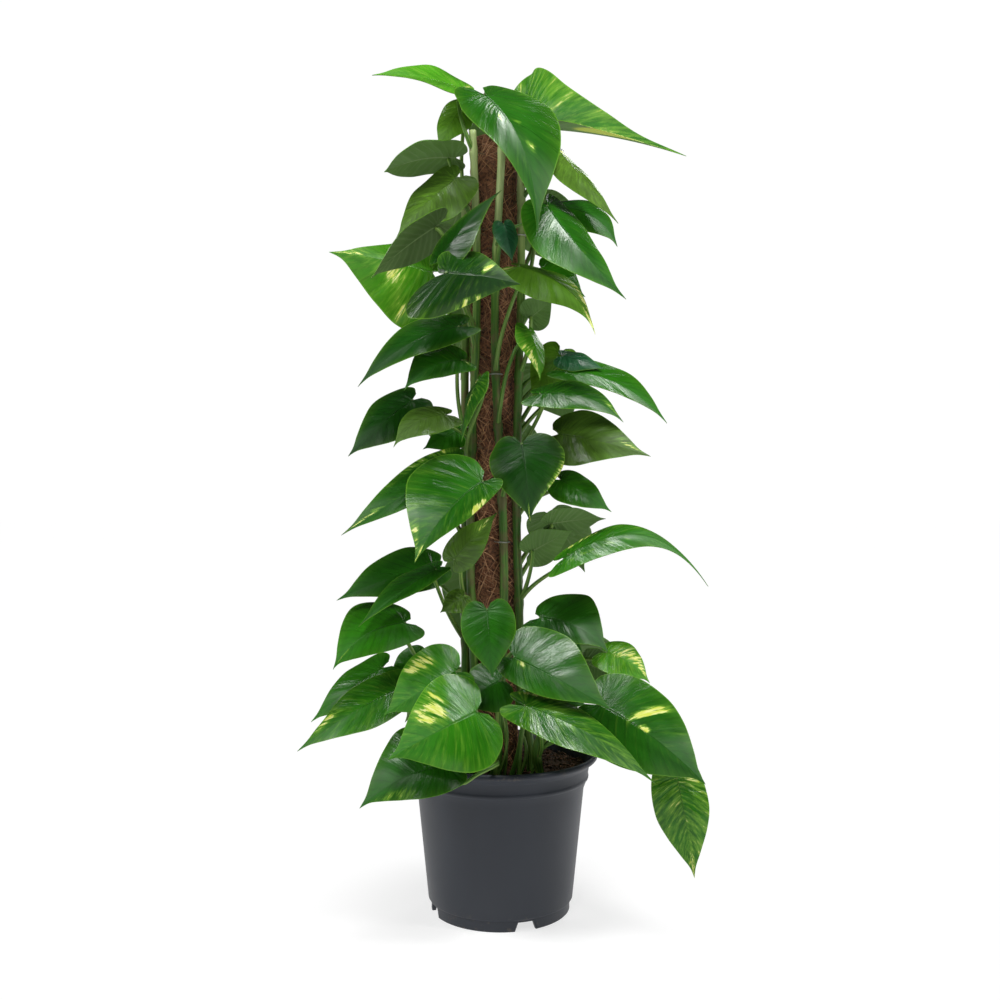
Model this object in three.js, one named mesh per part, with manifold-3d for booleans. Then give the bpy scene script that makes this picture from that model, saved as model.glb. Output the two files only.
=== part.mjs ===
// A potted scindapsus (golden pothos) trained up a coir pole in a round nursery pot.
// Millimetres, +Z up, -Y to the front. The origin is on the floor, on the pot's axis.
import * as THREE from "three";
import { mergeVertices } from "three/addons/utils/BufferGeometryUtils.js";
import Module from "manifold-3d";

const wasm = await Module();
wasm.setup();

// Pot: its heights and radii, from the foot up to the flared lip
const POT_HEIGHT = 152.5;
const FOOT_RADIUS = 67.6;
const FOOT_WALL = 4;
const FOOT_HEIGHT = 11.5;
const BODY_BOTTOM_RADIUS = 70.6;
const BODY_TOP_RADIUS = 81.6;
const BODY_TOP = 119;
const RIDGE_RADIUS = 86.2;
const RIDGE_DRAFT = 0.8;
const RIDGE_BOTTOM = 128;
const RIDGE_TOP = 131.5;
const BAND_RADIUS = 87.4;
const BAND_TOP = 141;
const LIP_RADIUS = 95;
const LIP_EDGE = 148.5;
const LIP_ROUND = 3;
const EDGE = 1;
const POT_WALL = 2.2;
const POT_FLOOR = 2.6;
const POT_SIDES = 32;

// Notches through the foot and drainage holes through the floor
const NOTCH_COUNT = 4;
const NOTCH_FIRST_ANGLE = 20.4;
const NOTCH_WIDTH_BOTTOM = 22;
const NOTCH_WIDTH_TOP = 15;
const NOTCH_HEIGHT = 8.5;
const DRAIN_COUNT = 6;
const DRAIN_RADIUS = 4.5;
const DRAIN_RING_RADIUS = 46;
const DRAIN_SIDES = 8;

// Soil
const SOIL_TOP = 137;
const SOIL_LUMP = 1.6;
const SOIL_LUMP_X = 7;
const SOIL_LUMP_Y = 8;
const SOIL_LUMP_DRIFT = 19;
const SOIL_RINGS = 2;
const SOIL_SHRINK = 0.6;
const SOIL_EDGE_DROP = 1.5;
const HOLE_PROUD = 6;

// Gap kept between pieces that touch
const GAP = 0.3;

// Coir pole: a stiff stake in a sleeve of coconut fibre
const POLE_X = -6;
const POLE_TOP = 752;
const STAKE_RADIUS = 10;
const STAKE_BOTTOM = 22;
const STAKE_PROUD = 4;
const SLEEVE_RADIUS = 24;
const SLEEVE_BOTTOM = 92;
const POLE_SIDES = 18;

// Vines
const VINE_RADIUS = 4.4;
const VINE_SIDES = 6;
const VINE_STEP = 66;
const SHOOT_STEPS = 4;
const VINE_BOTTOM = 88;
const VINE_SPREAD = 13;
const VINE_SPREAD_HEIGHT = 60;
const VINE_WANDER = 9;
const VINE_WANDER_LENGTH = 78;

// Wire pins that hold the vines against the coir
const PIN_WIRE = 0.6;
const PIN_DEPTH = 9;
const PIN_EASE = 1.7;
const PIN_SIDES = 4;
const PIN_STEPS = 6;

// Leaves
const BLADE_THICKNESS = 1.1;
const BIG_LEAF = 66;
const PETIOLE_RADIUS = 2.1;
const PETIOLE_SIDES = 4;
const PETIOLE_STEPS = 3;
const PETIOLE_SINK = 0.06;
const WAVES = 1.6;
const TAIL_POWER = 6;

// Points nearer than this are one point
const WELD = 0.001;
const HALVINGS = 24;

const UP = new THREE.Vector3(0, 0, 1);
const vec = (x, y, z) => new THREE.Vector3(x, y, z);
const rad = THREE.MathUtils.degToRad;
const mix = THREE.MathUtils.lerp;

// Half of the heart-shaped outline, from the lobe beside the stalk to the tip:
// along the midrib, out to the side, and the place on the midrib where its side vein starts
const HEART = [
  { along: -0.1, out: 0.14, root: 0 },
  { along: -0.15, out: 0.44, root: 0 },
  { along: -0.07, out: 0.78, root: 0 },
  { along: 0.13, out: 0.98, root: 0.03 },
  { along: 0.35, out: 0.97, root: 0.14 },
  { along: 0.57, out: 0.74, root: 0.33 },
  { along: 0.78, out: 0.37, root: 0.57 },
  { along: 0.91, out: 0.1, root: 0.8 },
  { along: 1, out: 0, root: 1 },
];

const leaf = (name, base, tip, width, face, shape) => ({
  name, base: vec(...base), tip: vec(...tip), width, face: vec(...face), ...shape,
});

// Every vine with the leaves that grow from it. Angles go from the front towards the right.
// A leaf has its stalk end and tip, its width when flat, the way its glossy side looks,
// the height on the vine where its stalk starts, and what bends it.
const VINES = [
  {
    name: "vine_front_right", angle: 10, top: 758, pins: [520, 359],
    leaves: [
      leaf("top_front", [-15, -64, 777], [33, -97, 642], 98, [0.3, -1, 0.5],
        { node: 735, fold: -14, arch: 0.12, bend: -0.05, skew: -0.44, shoulder: 0.13 }),
      leaf("right_gloss", [44, -58, 675], [114, -90, 583], 66, [0.5, -1, 0.45],
        { node: 640, fold: -12, bend: 0.08, skew: 0.05 }),
      leaf("small_blue", [3, -62, 657], [11, -75, 619], 24, [0.2, -1, 0.2], { node: 600 }),
      leaf("yellow_tip", [18, -60, 618], [86, -90, 551], 54, [0.4, -1, 0.6],
        { node: 520, bend: -0.14, fold: -20, tail: 0.2 }),
      leaf("folded_small", [28, -45, 560], [37, -60, 512], 45, [0.9, -0.6, 0.2], { node: 470 }),
      leaf("hooded", [19, -88, 452], [27, -97, 380], 90, [0.2, -1, 0.25],
        { node: 400, fold: -36, twist: 20, skew: -0.2, shoulder: 0.08 }),
      leaf("heart_low", [-12, -98, 303], [-7, -108, 243], 50, [0, -1, 0.3], { node: 250 }),
      leaf("pair_right", [37, -48, 289], [99, -76, 261], 66, [0.2, -0.9, 0.6],
        { node: 235, bend: -0.1, skew: -0.3 }),
    ],
  },
  {
    name: "vine_front_left", angle: -44, top: 756, pins: [347],
    leaves: [
      leaf("top_edge", [-35, -12, 798], [-122, -40, 803], 66, [0, -0.75, 1],
        { node: 735, fold: 10, arch: 0.06 }),
      leaf("left_hang", [-42, -34, 707], [-99, -44, 647], 60, [-0.5, -1, 0.3],
        { node: 660, shoulder: -0.04 }),
      leaf("upturned", [-55, -82, 622], [1, -86, 683], 44, [-0.9, -0.8, 0.2], { node: 560, tail: 0.12 }),
      leaf("front_gloss", [-48, -112, 604], [18, -106, 594], 84, [-0.05, -1, 0.4],
        { node: 540, fold: -22, skew: 0.08, sweep: 0.75, rise: 0.5, out: 0.1 }),
      leaf("stalked", [-36, -55, 531], [-89, -75, 501], 42, [-0.1, -1, 0.4],
        { node: 450, bend: 0.12, skew: 0.3 }),
      leaf("narrow", [-21, -60, 512], [-36, -70, 454], 42, [-1, -0.4, 0.2], { node: 430 }),
      leaf("olive_mid", [-51, -62, 480], [-98, -80, 449], 38, [-0.1, -1, 0.7],
        { node: 456, bend: 0.14, rise: 0.2 }),
      leaf("big_front", [-16, -95, 418], [-76, -115, 346], 80, [-0.15, -1, 0.3],
        { node: 400, fold: -14, bend: 0.06, skew: 0.55 }),
      leaf("olive_back", [-43, -62, 345], [-3, -68, 389], 34, [-0.2, -1, 0.2], { node: 285 }),
      leaf("small_pale", [-35, -45, 309], [-57, -50, 294], 26, [-0.2, -1, 0.5], { node: 300 }),
    ],
  },
  {
    name: "vine_right", angle: 56, top: 757, pins: [656],
    leaves: [
      leaf("top_right", [19, 5, 766], [180, -18, 732], 98, [0.05, -0.6, 0.8],
        { node: 700, fold: 48, arch: 0.04, skew: -0.36, tail: 0.32, shoulder: 0.16, rise: 0.3 }),
      leaf("light_narrow", [56, -20, 737], [111, -50, 660], 52, [0.7, -0.7, 0.4],
        { node: 690, bend: 0.08, skew: 0.2 }),
      leaf("shelf", [46, -18, 684], [111, -40, 640], 62, [0.1, -0.8, 0.9], { node: 672, bend: -0.2 }),
      leaf("grey_up", [28, -16, 575], [51, -18, 593], 34, [0.2, 1, 0.3], { node: 520 }),
      leaf("mid_right", [37, -62, 499], [112, -84, 472], 50, [0.1, -0.8, 0.9],
        { node: 440, bend: -0.14, skew: -0.25 }),
      leaf("mid_big", [56, -20, 463], [140, -60, 441], 66, [0.1, -1, 0.5],
        { node: 400, skew: -0.1, shoulder: 0.06 }),
      leaf("long_tail", [63, -66, 350], [188, -92, 323], 44, [0.1, -0.8, 0.8],
        { node: 300, arch: 0.08, bend: -0.26, tail: 0.35 }),
      leaf("grey_low", [28, -26, 349], [70, -26, 370], 36, [0.2, 1, 0.3], { node: 300 }),
      leaf("dark_low", [49, -40, 282], [77, -50, 257], 40, [0.1, -1, 0.3], { node: 240 }),
      leaf("cream_patch", [99, -50, 257], [139, -62, 230], 40, [0.2, -0.9, 0.6], { node: 220, bend: -0.08 }),
    ],
  },
  {
    name: "vine_left", angle: -88, top: 705, pins: [470],
    leaves: [
      leaf("grey_left", [-44, -16, 731], [-111, -36, 712], 50, [0, 0.5, 0.9],
        { node: 690, bend: -0.05, skew: -0.25, shoulder: -0.2 }),
      leaf("grey_wing", [-58, -56, 658], [-119, -82, 603], 42, [0.1, 0.7, 0.8],
        { node: 610, rise: 0.4, steps: 6 }),
      leaf("big_left", [-65, -36, 617], [-162, -46, 634], 95, [-0.1, -1, 0.5],
        { node: 560, fold: -16, skew: -0.22, shoulder: 0.07 }),
      leaf("left_droop", [-39, -60, 562], [-130, -85, 504], 44, [-0.2, -1, 0.6],
        { node: 530, bend: 0.07, skew: 0.25 }),
      leaf("left_dark", [-85, -20, 496], [-144, -46, 441], 56, [-0.3, -1, 0.4], { node: 420 }),
      leaf("small_mid", [-39, -14, 467], [-75, -24, 448], 32, [-0.2, -1, 0.3], { node: 395 }),
      leaf("left_long", [-43, -48, 432], [-147, -72, 368], 44, [-0.2, -1, 0.5],
        { node: 360, arch: 0.1, bend: -0.04, skew: 0.3 }),
      leaf("low_dark", [-65, -12, 335], [-155, -44, 305], 62, [-0.2, -0.8, 0.7], { node: 290, skew: 0.2 }),
      leaf("low_bright", [-61, -46, 334], [-131, -76, 284], 38, [-0.2, -0.6, 1], { node: 260, skew: 0.4 }),
      leaf("low_inner", [-74, -12, 243], [-111, -16, 217], 44, [-0.2, -1, 0.3], { node: 200 }),
    ],
  },
  {
    name: "vine_back_right", angle: 122, top: 690, pins: [440],
    leaves: [
      leaf("inner_grey", [39, -6, 661], [59, -20, 637], 30, [0.2, 1, 0.4], { node: 600 }),
      leaf("inner_dark", [39, -25, 622], [81, -35, 593], 44, [0.2, -1, 0.2], { node: 570 }),
      leaf("blue_back", [60, -14, 539], [100, -22, 525], 36, [0.1, -0.7, 0.8], { node: 490 }),
      leaf("right_shelf", [64, -25, 524], [156, -55, 472], 46, [0.2, -0.8, 0.8],
        { node: 460, bend: -0.1, skew: -0.4 }),
      leaf("pale_back", [59, 8, 545], [31, 0, 492], 46, [-0.1, -1, 0.2], { node: 470 }),
      leaf("mid_small", [57, -35, 419], [104, -55, 389], 40, [0.3, -1, 0.5], { node: 380 }),
      leaf("grey_mid", [46, -22, 376], [102, -18, 381], 38, [0, 1, 0.6], { node: 330, rise: 0.45 }),
      leaf("back_right_top", [35, 45, 699], [79, 90, 635], 74, [0.3, 1, 0.4], { node: 625 }),
      leaf("back_right_mid", [41, 52, 535], [76, 92, 476], 72, [0.3, 1, 0.4], { node: 505 }),
      leaf("back_right_low", [53, 55, 382], [90, 95, 319], 66, [0.3, 1, 0.4], { node: 318 }),
      leaf("back_right_rim", [72, 60, 252], [134, 110, 164], 78, [0.3, 1, 0.4], { node: 215 }),
    ],
  },
  {
    name: "vine_back", angle: 176, top: 755, pins: [500, 225],
    leaves: [
      leaf("back_top", [15, 45, 801], [-11, 95, 726], 85, [-0.1, 1, 0.3], { node: 735 }),
      leaf("back_upper", [-9, 62, 604], [-43, 105, 524], 80, [-0.1, 1, 0.3], { node: 550 }),
      leaf("back_mid", [-1, 70, 470], [10, 110, 379], 85, [0.1, 1, 0.3], { node: 410 }),
      leaf("back_low", [-16, 70, 334], [-38, 115, 233], 82, [0, 1, 0.3], { node: 270 }),
      leaf("back_rim", [-1, 85, 211], [10, 135, 137], 80, [0, 1, 0.6], { node: 180 }),
    ],
  },
  {
    name: "vine_back_left", angle: -128, top: 715, pins: [600],
    leaves: [
      leaf("behind_pole", [-36, -2, 787], [-61, -16, 738], 40, [-0.3, -1, 0.2], { node: 690 }),
      leaf("back_left_top", [-33, 45, 714], [-64, 85, 647], 72, [-0.3, 1, 0.4], { node: 655 }),
      leaf("back_left_mid", [-31, 50, 577], [-55, 84, 531], 66, [-0.3, 1, 0.4], { node: 520 }),
      leaf("back_left_low", [-40, 52, 443], [-64, 92, 375], 72, [-0.3, 1, 0.4], { node: 380 }),
      leaf("back_left_rim", [-52, 58, 223], [-102, 96, 159], 66, [-0.3, 1, 0.4], { node: 220 }),
    ],
  },
  {
    name: "shoot_low_left",
    route: [[-34, -44, 88], [-35, -47, 137], [-33, -52, 165], [-36, -56, 186]],
    leaves: [
      leaf("out_left", [-89, -60, 286], [-153, -82, 246], 68, [-0.3, -1, 0.35],
        { node: 165, bend: 0.12, skew: 0.35, fold: -24, shoulder: -0.04 }),
      leaf("low_left", [-113, -30, 239], [-180, -40, 189], 48, [-0.3, -0.9, 0.8], { node: 165 }),
      leaf("low_left_front", [-94, -58, 225], [-186, -80, 171], 54, [-0.2, -0.8, 0.8],
        { node: 160, skew: 0.1 }),
      leaf("streaked", [-40, -82, 244], [-105, -98, 208], 64, [-0.1, -1, 0.5], { node: 170, skew: 0.2 }),
      leaf("olive_low", [0, -70, 234], [-40, -80, 213], 50, [0, -1, 0.4], { node: 180 }),
      leaf("cream_front", [-21, -116, 215], [-98, -134, 177], 94, [-0.1, -1, 0.4],
        { node: 155, fold: -12, shoulder: 0.05 }),
      leaf("over_rim", [-47, -112, 166], [-124, -122, 131], 74, [-0.2, -0.9, 0.6],
        { node: 150, bend: 0.07, skew: 0.35, steps: 10,
          via: [[-2, -92, 163], [-21, -104, 156], [-34, -111, 150], [-41, -112, 157]] }),
    ],
  },
  {
    name: "shoot_low_right",
    route: [[38, -42, 88], [38, -46, 137], [34, -50, 160], [38, -56, 182]],
    leaves: [
      leaf("front_low", [12, -88, 258], [98, -112, 216], 66, [0.1, -1, 0.5], { node: 170, skew: -0.35 }),
      leaf("grey_round", [81, -20, 243], [112, -26, 226], 40, [0.1, 1, 0.3], { node: 170 }),
      leaf("big_right", [90, -90, 216], [181, -118, 151], 88, [0.15, -1, 0.4],
        { node: 165, fold: -16, bend: -0.03, skew: -0.1, shoulder: -0.04 }),
      leaf("hanging", [159, -95, 152], [175, -95, 60], 52, [0.1, -1, 0.1], { node: 160 }),
      leaf("long_low", [22, -100, 217], [135, -130, 155], 46, [0.2, -0.8, 0.8], { node: 155, arch: 0.1 }),
      leaf("dark_shelf", [24, -70, 221], [82, -80, 212], 40, [0.1, -0.5, 0.9], { node: 160 }),
    ],
  },
];

// Solids

// A closed three.js geometry as a solid, with its faces turned outwards
function solid(geometry) {
  const bare = geometry.clone();
  bare.deleteAttribute("normal");
  bare.deleteAttribute("uv");
  const merged = mergeVertices(bare, WELD);
  const corners = [...merged.index.array];
  const kept = [];
  for (let i = 0; i < corners.length; i += 3) {
    const [a, b, c] = corners.slice(i, i + 3);
    if (a !== b && b !== c && c !== a) kept.push(a, b, c);
  }
  const vertProperties = new Float32Array(merged.attributes.position.array);
  const make = (triVerts) => new wasm.Manifold(new wasm.Mesh({ numProp: 3, vertProperties, triVerts }));
  const made = make(new Uint32Array(kept));
  if (made.volume() > 0) return made;
  return make(new Uint32Array(kept).reverse());
}

// A solid back as a three.js geometry
function geometryOf(manifold) {
  const mesh = manifold.getMesh();
  const geometry = new THREE.BufferGeometry();
  geometry.setAttribute("position", new THREE.BufferAttribute(mesh.vertProperties, 3));
  geometry.setIndex(new THREE.BufferAttribute(mesh.triVerts, 1));
  geometry.computeVertexNormals();
  return geometry;
}

const joined = (solids) => solids.reduce((whole, next) => whole.add(next));

// A turned solid from a profile of radius and height
function turned(profile, sides) {
  const points = profile.map(([radius, height]) => new THREE.Vector2(radius, height));
  return new THREE.LatheGeometry(points, sides).rotateX(Math.PI / 2);
}

const cylinder = (radius, bottom, top, sides) =>
  turned([[0, bottom], [radius, bottom], [radius, top], [0, top]], sides);

const roundPole = (radius, bottom, top) => cylinder(radius, bottom, top, POLE_SIDES).translate(POLE_X, 0, 0);

// A tube along a curve
function tube(curve, radius, sides, steps) {
  const ring = [];
  for (let i = 0; i < sides; i++) {
    const angle = (2 * Math.PI * i) / sides;
    ring.push(new THREE.Vector2(radius * Math.cos(angle), radius * Math.sin(angle)));
  }
  return new THREE.ExtrudeGeometry(new THREE.Shape(ring), { steps, extrudePath: curve, bevelEnabled: false });
}

// Leaves

// The way the blade's glossy side looks, square to its midrib
function bladeNormal({ base, tip, face }) {
  const chord = tip.clone().sub(base).normalize();
  return face.clone().addScaledVector(chord, -face.dot(chord)).normalize();
}

// A point of the blade's middle surface: how far along the midrib, how far out, and on which side
function bladePoint(spec, place, out, side) {
  const { base, tip, width, arch = 0.05, bend = 0, fold = -6, twist = 0 } = spec;
  const { skew = 0, tail = 0.05, curl = 0.1, wave = 0.05, shoulder = 0, sweep = 0 } = spec;
  const fuller = shoulder * 4 * Math.max(place, 0) * (1 - place);
  const along = place * (1 - tail * (1 - Math.abs(place) ** TAIL_POWER)) - fuller;
  const chord = tip.clone().sub(base);
  const length = chord.length();
  chord.normalize();
  const normal = bladeNormal(spec);
  const across = chord.clone().cross(normal);
  const bow = 4 * along * (1 - along);
  const half = (width / 2) * (1 + side * skew);
  const turn = rad(twist) * (along - 0.5);
  const sideways = across.clone().multiplyScalar(Math.cos(turn)).addScaledVector(normal, Math.sin(turn));
  const upward = normal.clone().multiplyScalar(Math.cos(turn)).addScaledVector(across, -Math.sin(turn));
  const ripple = Math.sin(2 * Math.PI * WAVES * along + side + length);
  const lift = out * Math.sin(rad(fold)) - curl * out * out + wave * out * out * ripple;
  return base.clone()
    .addScaledVector(chord, along * length - Math.max(sweep * side, 0) * out * half)
    .addScaledVector(normal, arch * bow * length)
    .addScaledVector(across, bend * bow * length)
    .addScaledVector(sideways, side * out * Math.cos(rad(fold)) * half)
    .addScaledVector(upward, lift * half);
}

// A sheet of triangles thickened both ways, with the same triangles on both faces
function thickened(points, triangles, thickness) {
  const sheet = new THREE.BufferGeometry().setFromPoints(points);
  sheet.setIndex(triangles.flat());
  sheet.computeVertexNormals();
  const normals = points.map((point, i) => vec(0, 0, 0).fromBufferAttribute(sheet.attributes.normal, i));
  const count = points.length;
  const shifted = (by) => points.map((point, i) => point.clone().addScaledVector(normals[i], by));
  const faces = [];
  const edges = new Map();
  for (const [a, b, c] of triangles) {
    faces.push(a, b, c, c + count, b + count, a + count);
    for (const [from, to] of [[a, b], [b, c], [c, a]]) {
      if (!edges.delete(`${to} ${from}`)) edges.set(`${from} ${to}`, [from, to]);
    }
  }
  for (const [from, to] of edges.values()) {
    faces.push(from, from + count, to, to, from + count, to + count);
  }
  const both = [...shifted(thickness / 2), ...shifted(-thickness / 2)];
  const shell = new THREE.BufferGeometry().setFromPoints(both);
  shell.setIndex(faces);
  return shell;
}

// The blade: side veins from the midrib to the outline, joined by triangles
function blade(spec) {
  const rows = spec.width < BIG_LEAF ? 1 : 2;
  const points = [];
  const keys = new Map();
  const at = (along, out, side) => {
    const key = `${along.toFixed(4)} ${(side * out).toFixed(4)}`;
    if (!keys.has(key)) keys.set(key, points.push(bladePoint(spec, along, out, side)) - 1);
    return keys.get(key);
  };
  const triangles = [];
  for (const side of [-1, 1]) {
    const veins = HEART.map(({ along, out, root }) => Array.from({ length: rows + 1 }, (_, row) =>
      at(mix(root, along, row / rows), (out * row) / rows, side)));
    for (let i = 0; i + 1 < veins.length; i++) {
      for (let row = 0; row < rows; row++) {
        const [a, b] = [veins[i][row], veins[i][row + 1]];
        const [c, d] = [veins[i + 1][row + 1], veins[i + 1][row]];
        for (const three of [[a, b, c], [a, c, d]]) {
          if (new Set(three).size === 3) triangles.push(side > 0 ? three.reverse() : three);
        }
      }
    }
  }
  return thickened(points, triangles, BLADE_THICKNESS);
}

// The stalk, from its node on the vine to just inside the blade
function petiole(spec, start, outward) {
  const end = bladePoint(spec, PETIOLE_SINK, 0, 1);
  const reach = end.distanceTo(start);
  const { rise = 0.35, out = 0.25, behind = 0.25 } = spec;
  const first = start.clone().addScaledVector(UP, rise * reach).addScaledVector(outward, out * reach);
  const second = end.clone().addScaledVector(bladeNormal(spec), -behind * reach);
  const curve = spec.via
    ? new THREE.CatmullRomCurve3([start, ...spec.via.map((point) => vec(...point)), end])
    : new THREE.CubicBezierCurve3(start, first, second, end);
  return tube(curve, PETIOLE_RADIUS, PETIOLE_SIDES, spec.steps ?? PETIOLE_STEPS);
}

// Vines

const vineSteps = ({ top, route }) => (route ? SHOOT_STEPS : Math.round((top - VINE_BOTTOM) / VINE_STEP));

// A vine's middle line: out of the soil, in to the pole and up it with a slight wander
function vineCurve(vine) {
  const { angle, top, route } = vine;
  if (route) return new THREE.CatmullRomCurve3(route.map((point) => vec(...point)));
  const steps = vineSteps(vine);
  const points = [];
  for (let i = 0; i <= steps; i++) {
    const z = mix(VINE_BOTTOM, top, i / steps);
    const spread = VINE_SPREAD * Math.max(0, 1 - (z - SOIL_TOP) / VINE_SPREAD_HEIGHT);
    const radius = SLEEVE_RADIUS + VINE_RADIUS + 2 * GAP + Math.min(spread, VINE_SPREAD);
    const turn = rad(angle + VINE_WANDER * Math.sin(z / VINE_WANDER_LENGTH + angle));
    points.push(vec(POLE_X + radius * Math.sin(turn), -radius * Math.cos(turn), z));
  }
  return new THREE.CatmullRomCurve3(points);
}

// The point of a rising curve at a height
function atHeight(curve, height) {
  let [low, high] = [0, 1];
  for (let i = 0; i < HALVINGS; i++) {
    const middle = (low + high) / 2;
    if (curve.getPoint(middle).z < height) low = middle;
    else high = middle;
  }
  return curve.getPoint(low);
}

// The level way from the pole's axis out to a point
const outwardAt = (point) => vec(point.x - POLE_X, point.y, 0).normalize();

function leafySolid(vine, spec) {
  const start = atHeight(vineCurve(vine), spec.node);
  return solid(blade(spec)).add(solid(petiole(spec, start, outwardAt(start))));
}

const vineSolid = (vine) => solid(tube(vineCurve(vine), VINE_RADIUS, VINE_SIDES, vineSteps(vine)));

// Pins

// A pin's wire: out of the coir, over the vine and back into the coir
function pinCurve(vine, height, depth) {
  const middle = atHeight(vineCurve(vine), height);
  const outward = outwardAt(middle);
  const across = outward.clone().cross(UP);
  const reach = vec(middle.x - POLE_X, middle.y, 0).length();
  const half = VINE_RADIUS + PIN_WIRE + PIN_EASE;
  const at = (radius, side) =>
    vec(POLE_X, 0, height).addScaledVector(outward, radius).addScaledVector(across, side * half);
  return new THREE.CatmullRomCurve3([
    at(SLEEVE_RADIUS - depth, -1), at(SLEEVE_RADIUS, -1), at(reach, -1),
    at(reach + half, 0),
    at(reach, 1), at(SLEEVE_RADIUS, 1), at(SLEEVE_RADIUS - depth, 1),
  ]);
}

const pinSolid = (vine, height) =>
  solid(tube(pinCurve(vine, height, PIN_DEPTH), PIN_WIRE, PIN_SIDES, PIN_STEPS));

const pinHole = (vine, height) =>
  solid(tube(pinCurve(vine, height, PIN_DEPTH + 2 * GAP), PIN_WIRE + 2 * GAP, PIN_SIDES, PIN_STEPS));

// Pot

// The wall's profile, up the outside and down the inside
function potProfile() {
  const inner = (radius) => radius - POT_WALL;
  const floor = FOOT_HEIGHT + POT_FLOOR;
  return [
    [0, FOOT_HEIGHT],
    [FOOT_RADIUS - FOOT_WALL, FOOT_HEIGHT],
    [FOOT_RADIUS - FOOT_WALL, 0],
    [FOOT_RADIUS, 0],
    [FOOT_RADIUS, FOOT_HEIGHT - EDGE],
    [BODY_BOTTOM_RADIUS, FOOT_HEIGHT],
    [BODY_TOP_RADIUS, BODY_TOP],
    [RIDGE_RADIUS - RIDGE_DRAFT, RIDGE_BOTTOM],
    [RIDGE_RADIUS, RIDGE_TOP],
    [BAND_RADIUS, BAND_TOP],
    [LIP_RADIUS - EDGE, LIP_EDGE - EDGE],
    [LIP_RADIUS, LIP_EDGE],
    [LIP_RADIUS - EDGE, POT_HEIGHT - EDGE],
    [LIP_RADIUS - LIP_ROUND, POT_HEIGHT],
    [inner(BAND_RADIUS) + LIP_ROUND, LIP_EDGE],
    [inner(BAND_RADIUS), BAND_TOP],
    [inner(RIDGE_RADIUS), RIDGE_TOP],
    [inner(BODY_TOP_RADIUS), BODY_TOP],
    [inner(BODY_BOTTOM_RADIUS), floor],
    [0, floor],
  ];
}

function footNotch(index) {
  const corners = [
    [-NOTCH_WIDTH_BOTTOM / 2, -EDGE], [NOTCH_WIDTH_BOTTOM / 2, -EDGE],
    [NOTCH_WIDTH_TOP / 2, NOTCH_HEIGHT], [-NOTCH_WIDTH_TOP / 2, NOTCH_HEIGHT],
  ];
  const outline = new THREE.Shape(corners.map(([x, z]) => new THREE.Vector2(x, z)));
  const cut = new THREE.ExtrudeGeometry(outline, { depth: 3 * FOOT_WALL, bevelEnabled: false });
  cut.rotateX(Math.PI / 2).translate(0, -FOOT_RADIUS + 2 * FOOT_WALL, 0);
  return solid(cut.rotateZ(rad(NOTCH_FIRST_ANGLE + (360 * index) / NOTCH_COUNT)));
}

function drainHole(index) {
  const hole = cylinder(DRAIN_RADIUS, FOOT_HEIGHT - EDGE, FOOT_HEIGHT + POT_FLOOR + EDGE, DRAIN_SIDES);
  return solid(hole.translate(0, -DRAIN_RING_RADIUS, 0).rotateZ((2 * Math.PI * index) / DRAIN_COUNT));
}

function potSolid() {
  const cuts = [];
  for (let i = 0; i < NOTCH_COUNT; i++) cuts.push(footNotch(i));
  for (let i = 0; i < DRAIN_COUNT; i++) cuts.push(drainHole(i));
  return solid(turned(potProfile(), POT_SIDES)).subtract(joined(cuts));
}

// Soil

// The soil's body, with a lumpy top
function soilBody() {
  const inset = POT_WALL + 2 * GAP;
  const floor = FOOT_HEIGHT + POT_FLOOR + GAP;
  const slope = (BODY_TOP_RADIUS - BODY_BOTTOM_RADIUS) / (BODY_TOP - FOOT_HEIGHT);
  const profile = [
    [0, floor],
    [BODY_BOTTOM_RADIUS + slope * (floor - FOOT_HEIGHT) - inset, floor],
    [BODY_TOP_RADIUS - inset, BODY_TOP],
    [RIDGE_RADIUS - inset - SOIL_SHRINK, RIDGE_TOP],
    [RIDGE_RADIUS - inset - 2 * SOIL_SHRINK, SOIL_TOP - SOIL_EDGE_DROP],
  ];
  for (let i = SOIL_RINGS - 1; i >= 0; i--) profile.push([(i / SOIL_RINGS) * RIDGE_RADIUS, SOIL_TOP]);
  const body = turned(profile, POT_SIDES);
  const points = body.attributes.position;
  for (let i = 0; i < points.count; i++) {
    if (points.getZ(i) < SOIL_TOP - WELD) continue;
    const [x, y] = [points.getX(i), points.getY(i)];
    const lump = Math.sin(x / SOIL_LUMP_X + 1) * Math.sin(y / SOIL_LUMP_Y + x / SOIL_LUMP_DRIFT);
    points.setZ(i, SOIL_TOP + SOIL_LUMP * lump);
  }
  return solid(body);
}

// The plain hole that a vine stands in
function vineHole(vine) {
  const curve = vineCurve(vine);
  const sunk = [0, 0.5, 1].map((t) => atHeight(curve, mix(VINE_BOTTOM, SOIL_TOP + HOLE_PROUD, t)));
  sunk[0].z -= GAP;
  return solid(tube(new THREE.CatmullRomCurve3(sunk), VINE_RADIUS + 4 * GAP, VINE_SIDES, 2));
}

function soilSolid() {
  const stake = solid(roundPole(STAKE_RADIUS + GAP, STAKE_BOTTOM - GAP, SLEEVE_BOTTOM));
  const sleeve = solid(roundPole(SLEEVE_RADIUS + GAP, SLEEVE_BOTTOM - GAP, SOIL_TOP + HOLE_PROUD));
  return soilBody().subtract(joined([stake, sleeve, ...VINES.map(vineHole)]));
}

// Pole

const stakeSolid = () => solid(roundPole(STAKE_RADIUS, STAKE_BOTTOM, POLE_TOP + STAKE_PROUD));

const everyPin = () => VINES.flatMap((vine) => (vine.pins ?? []).map((height) => ({ vine, height })));

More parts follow.
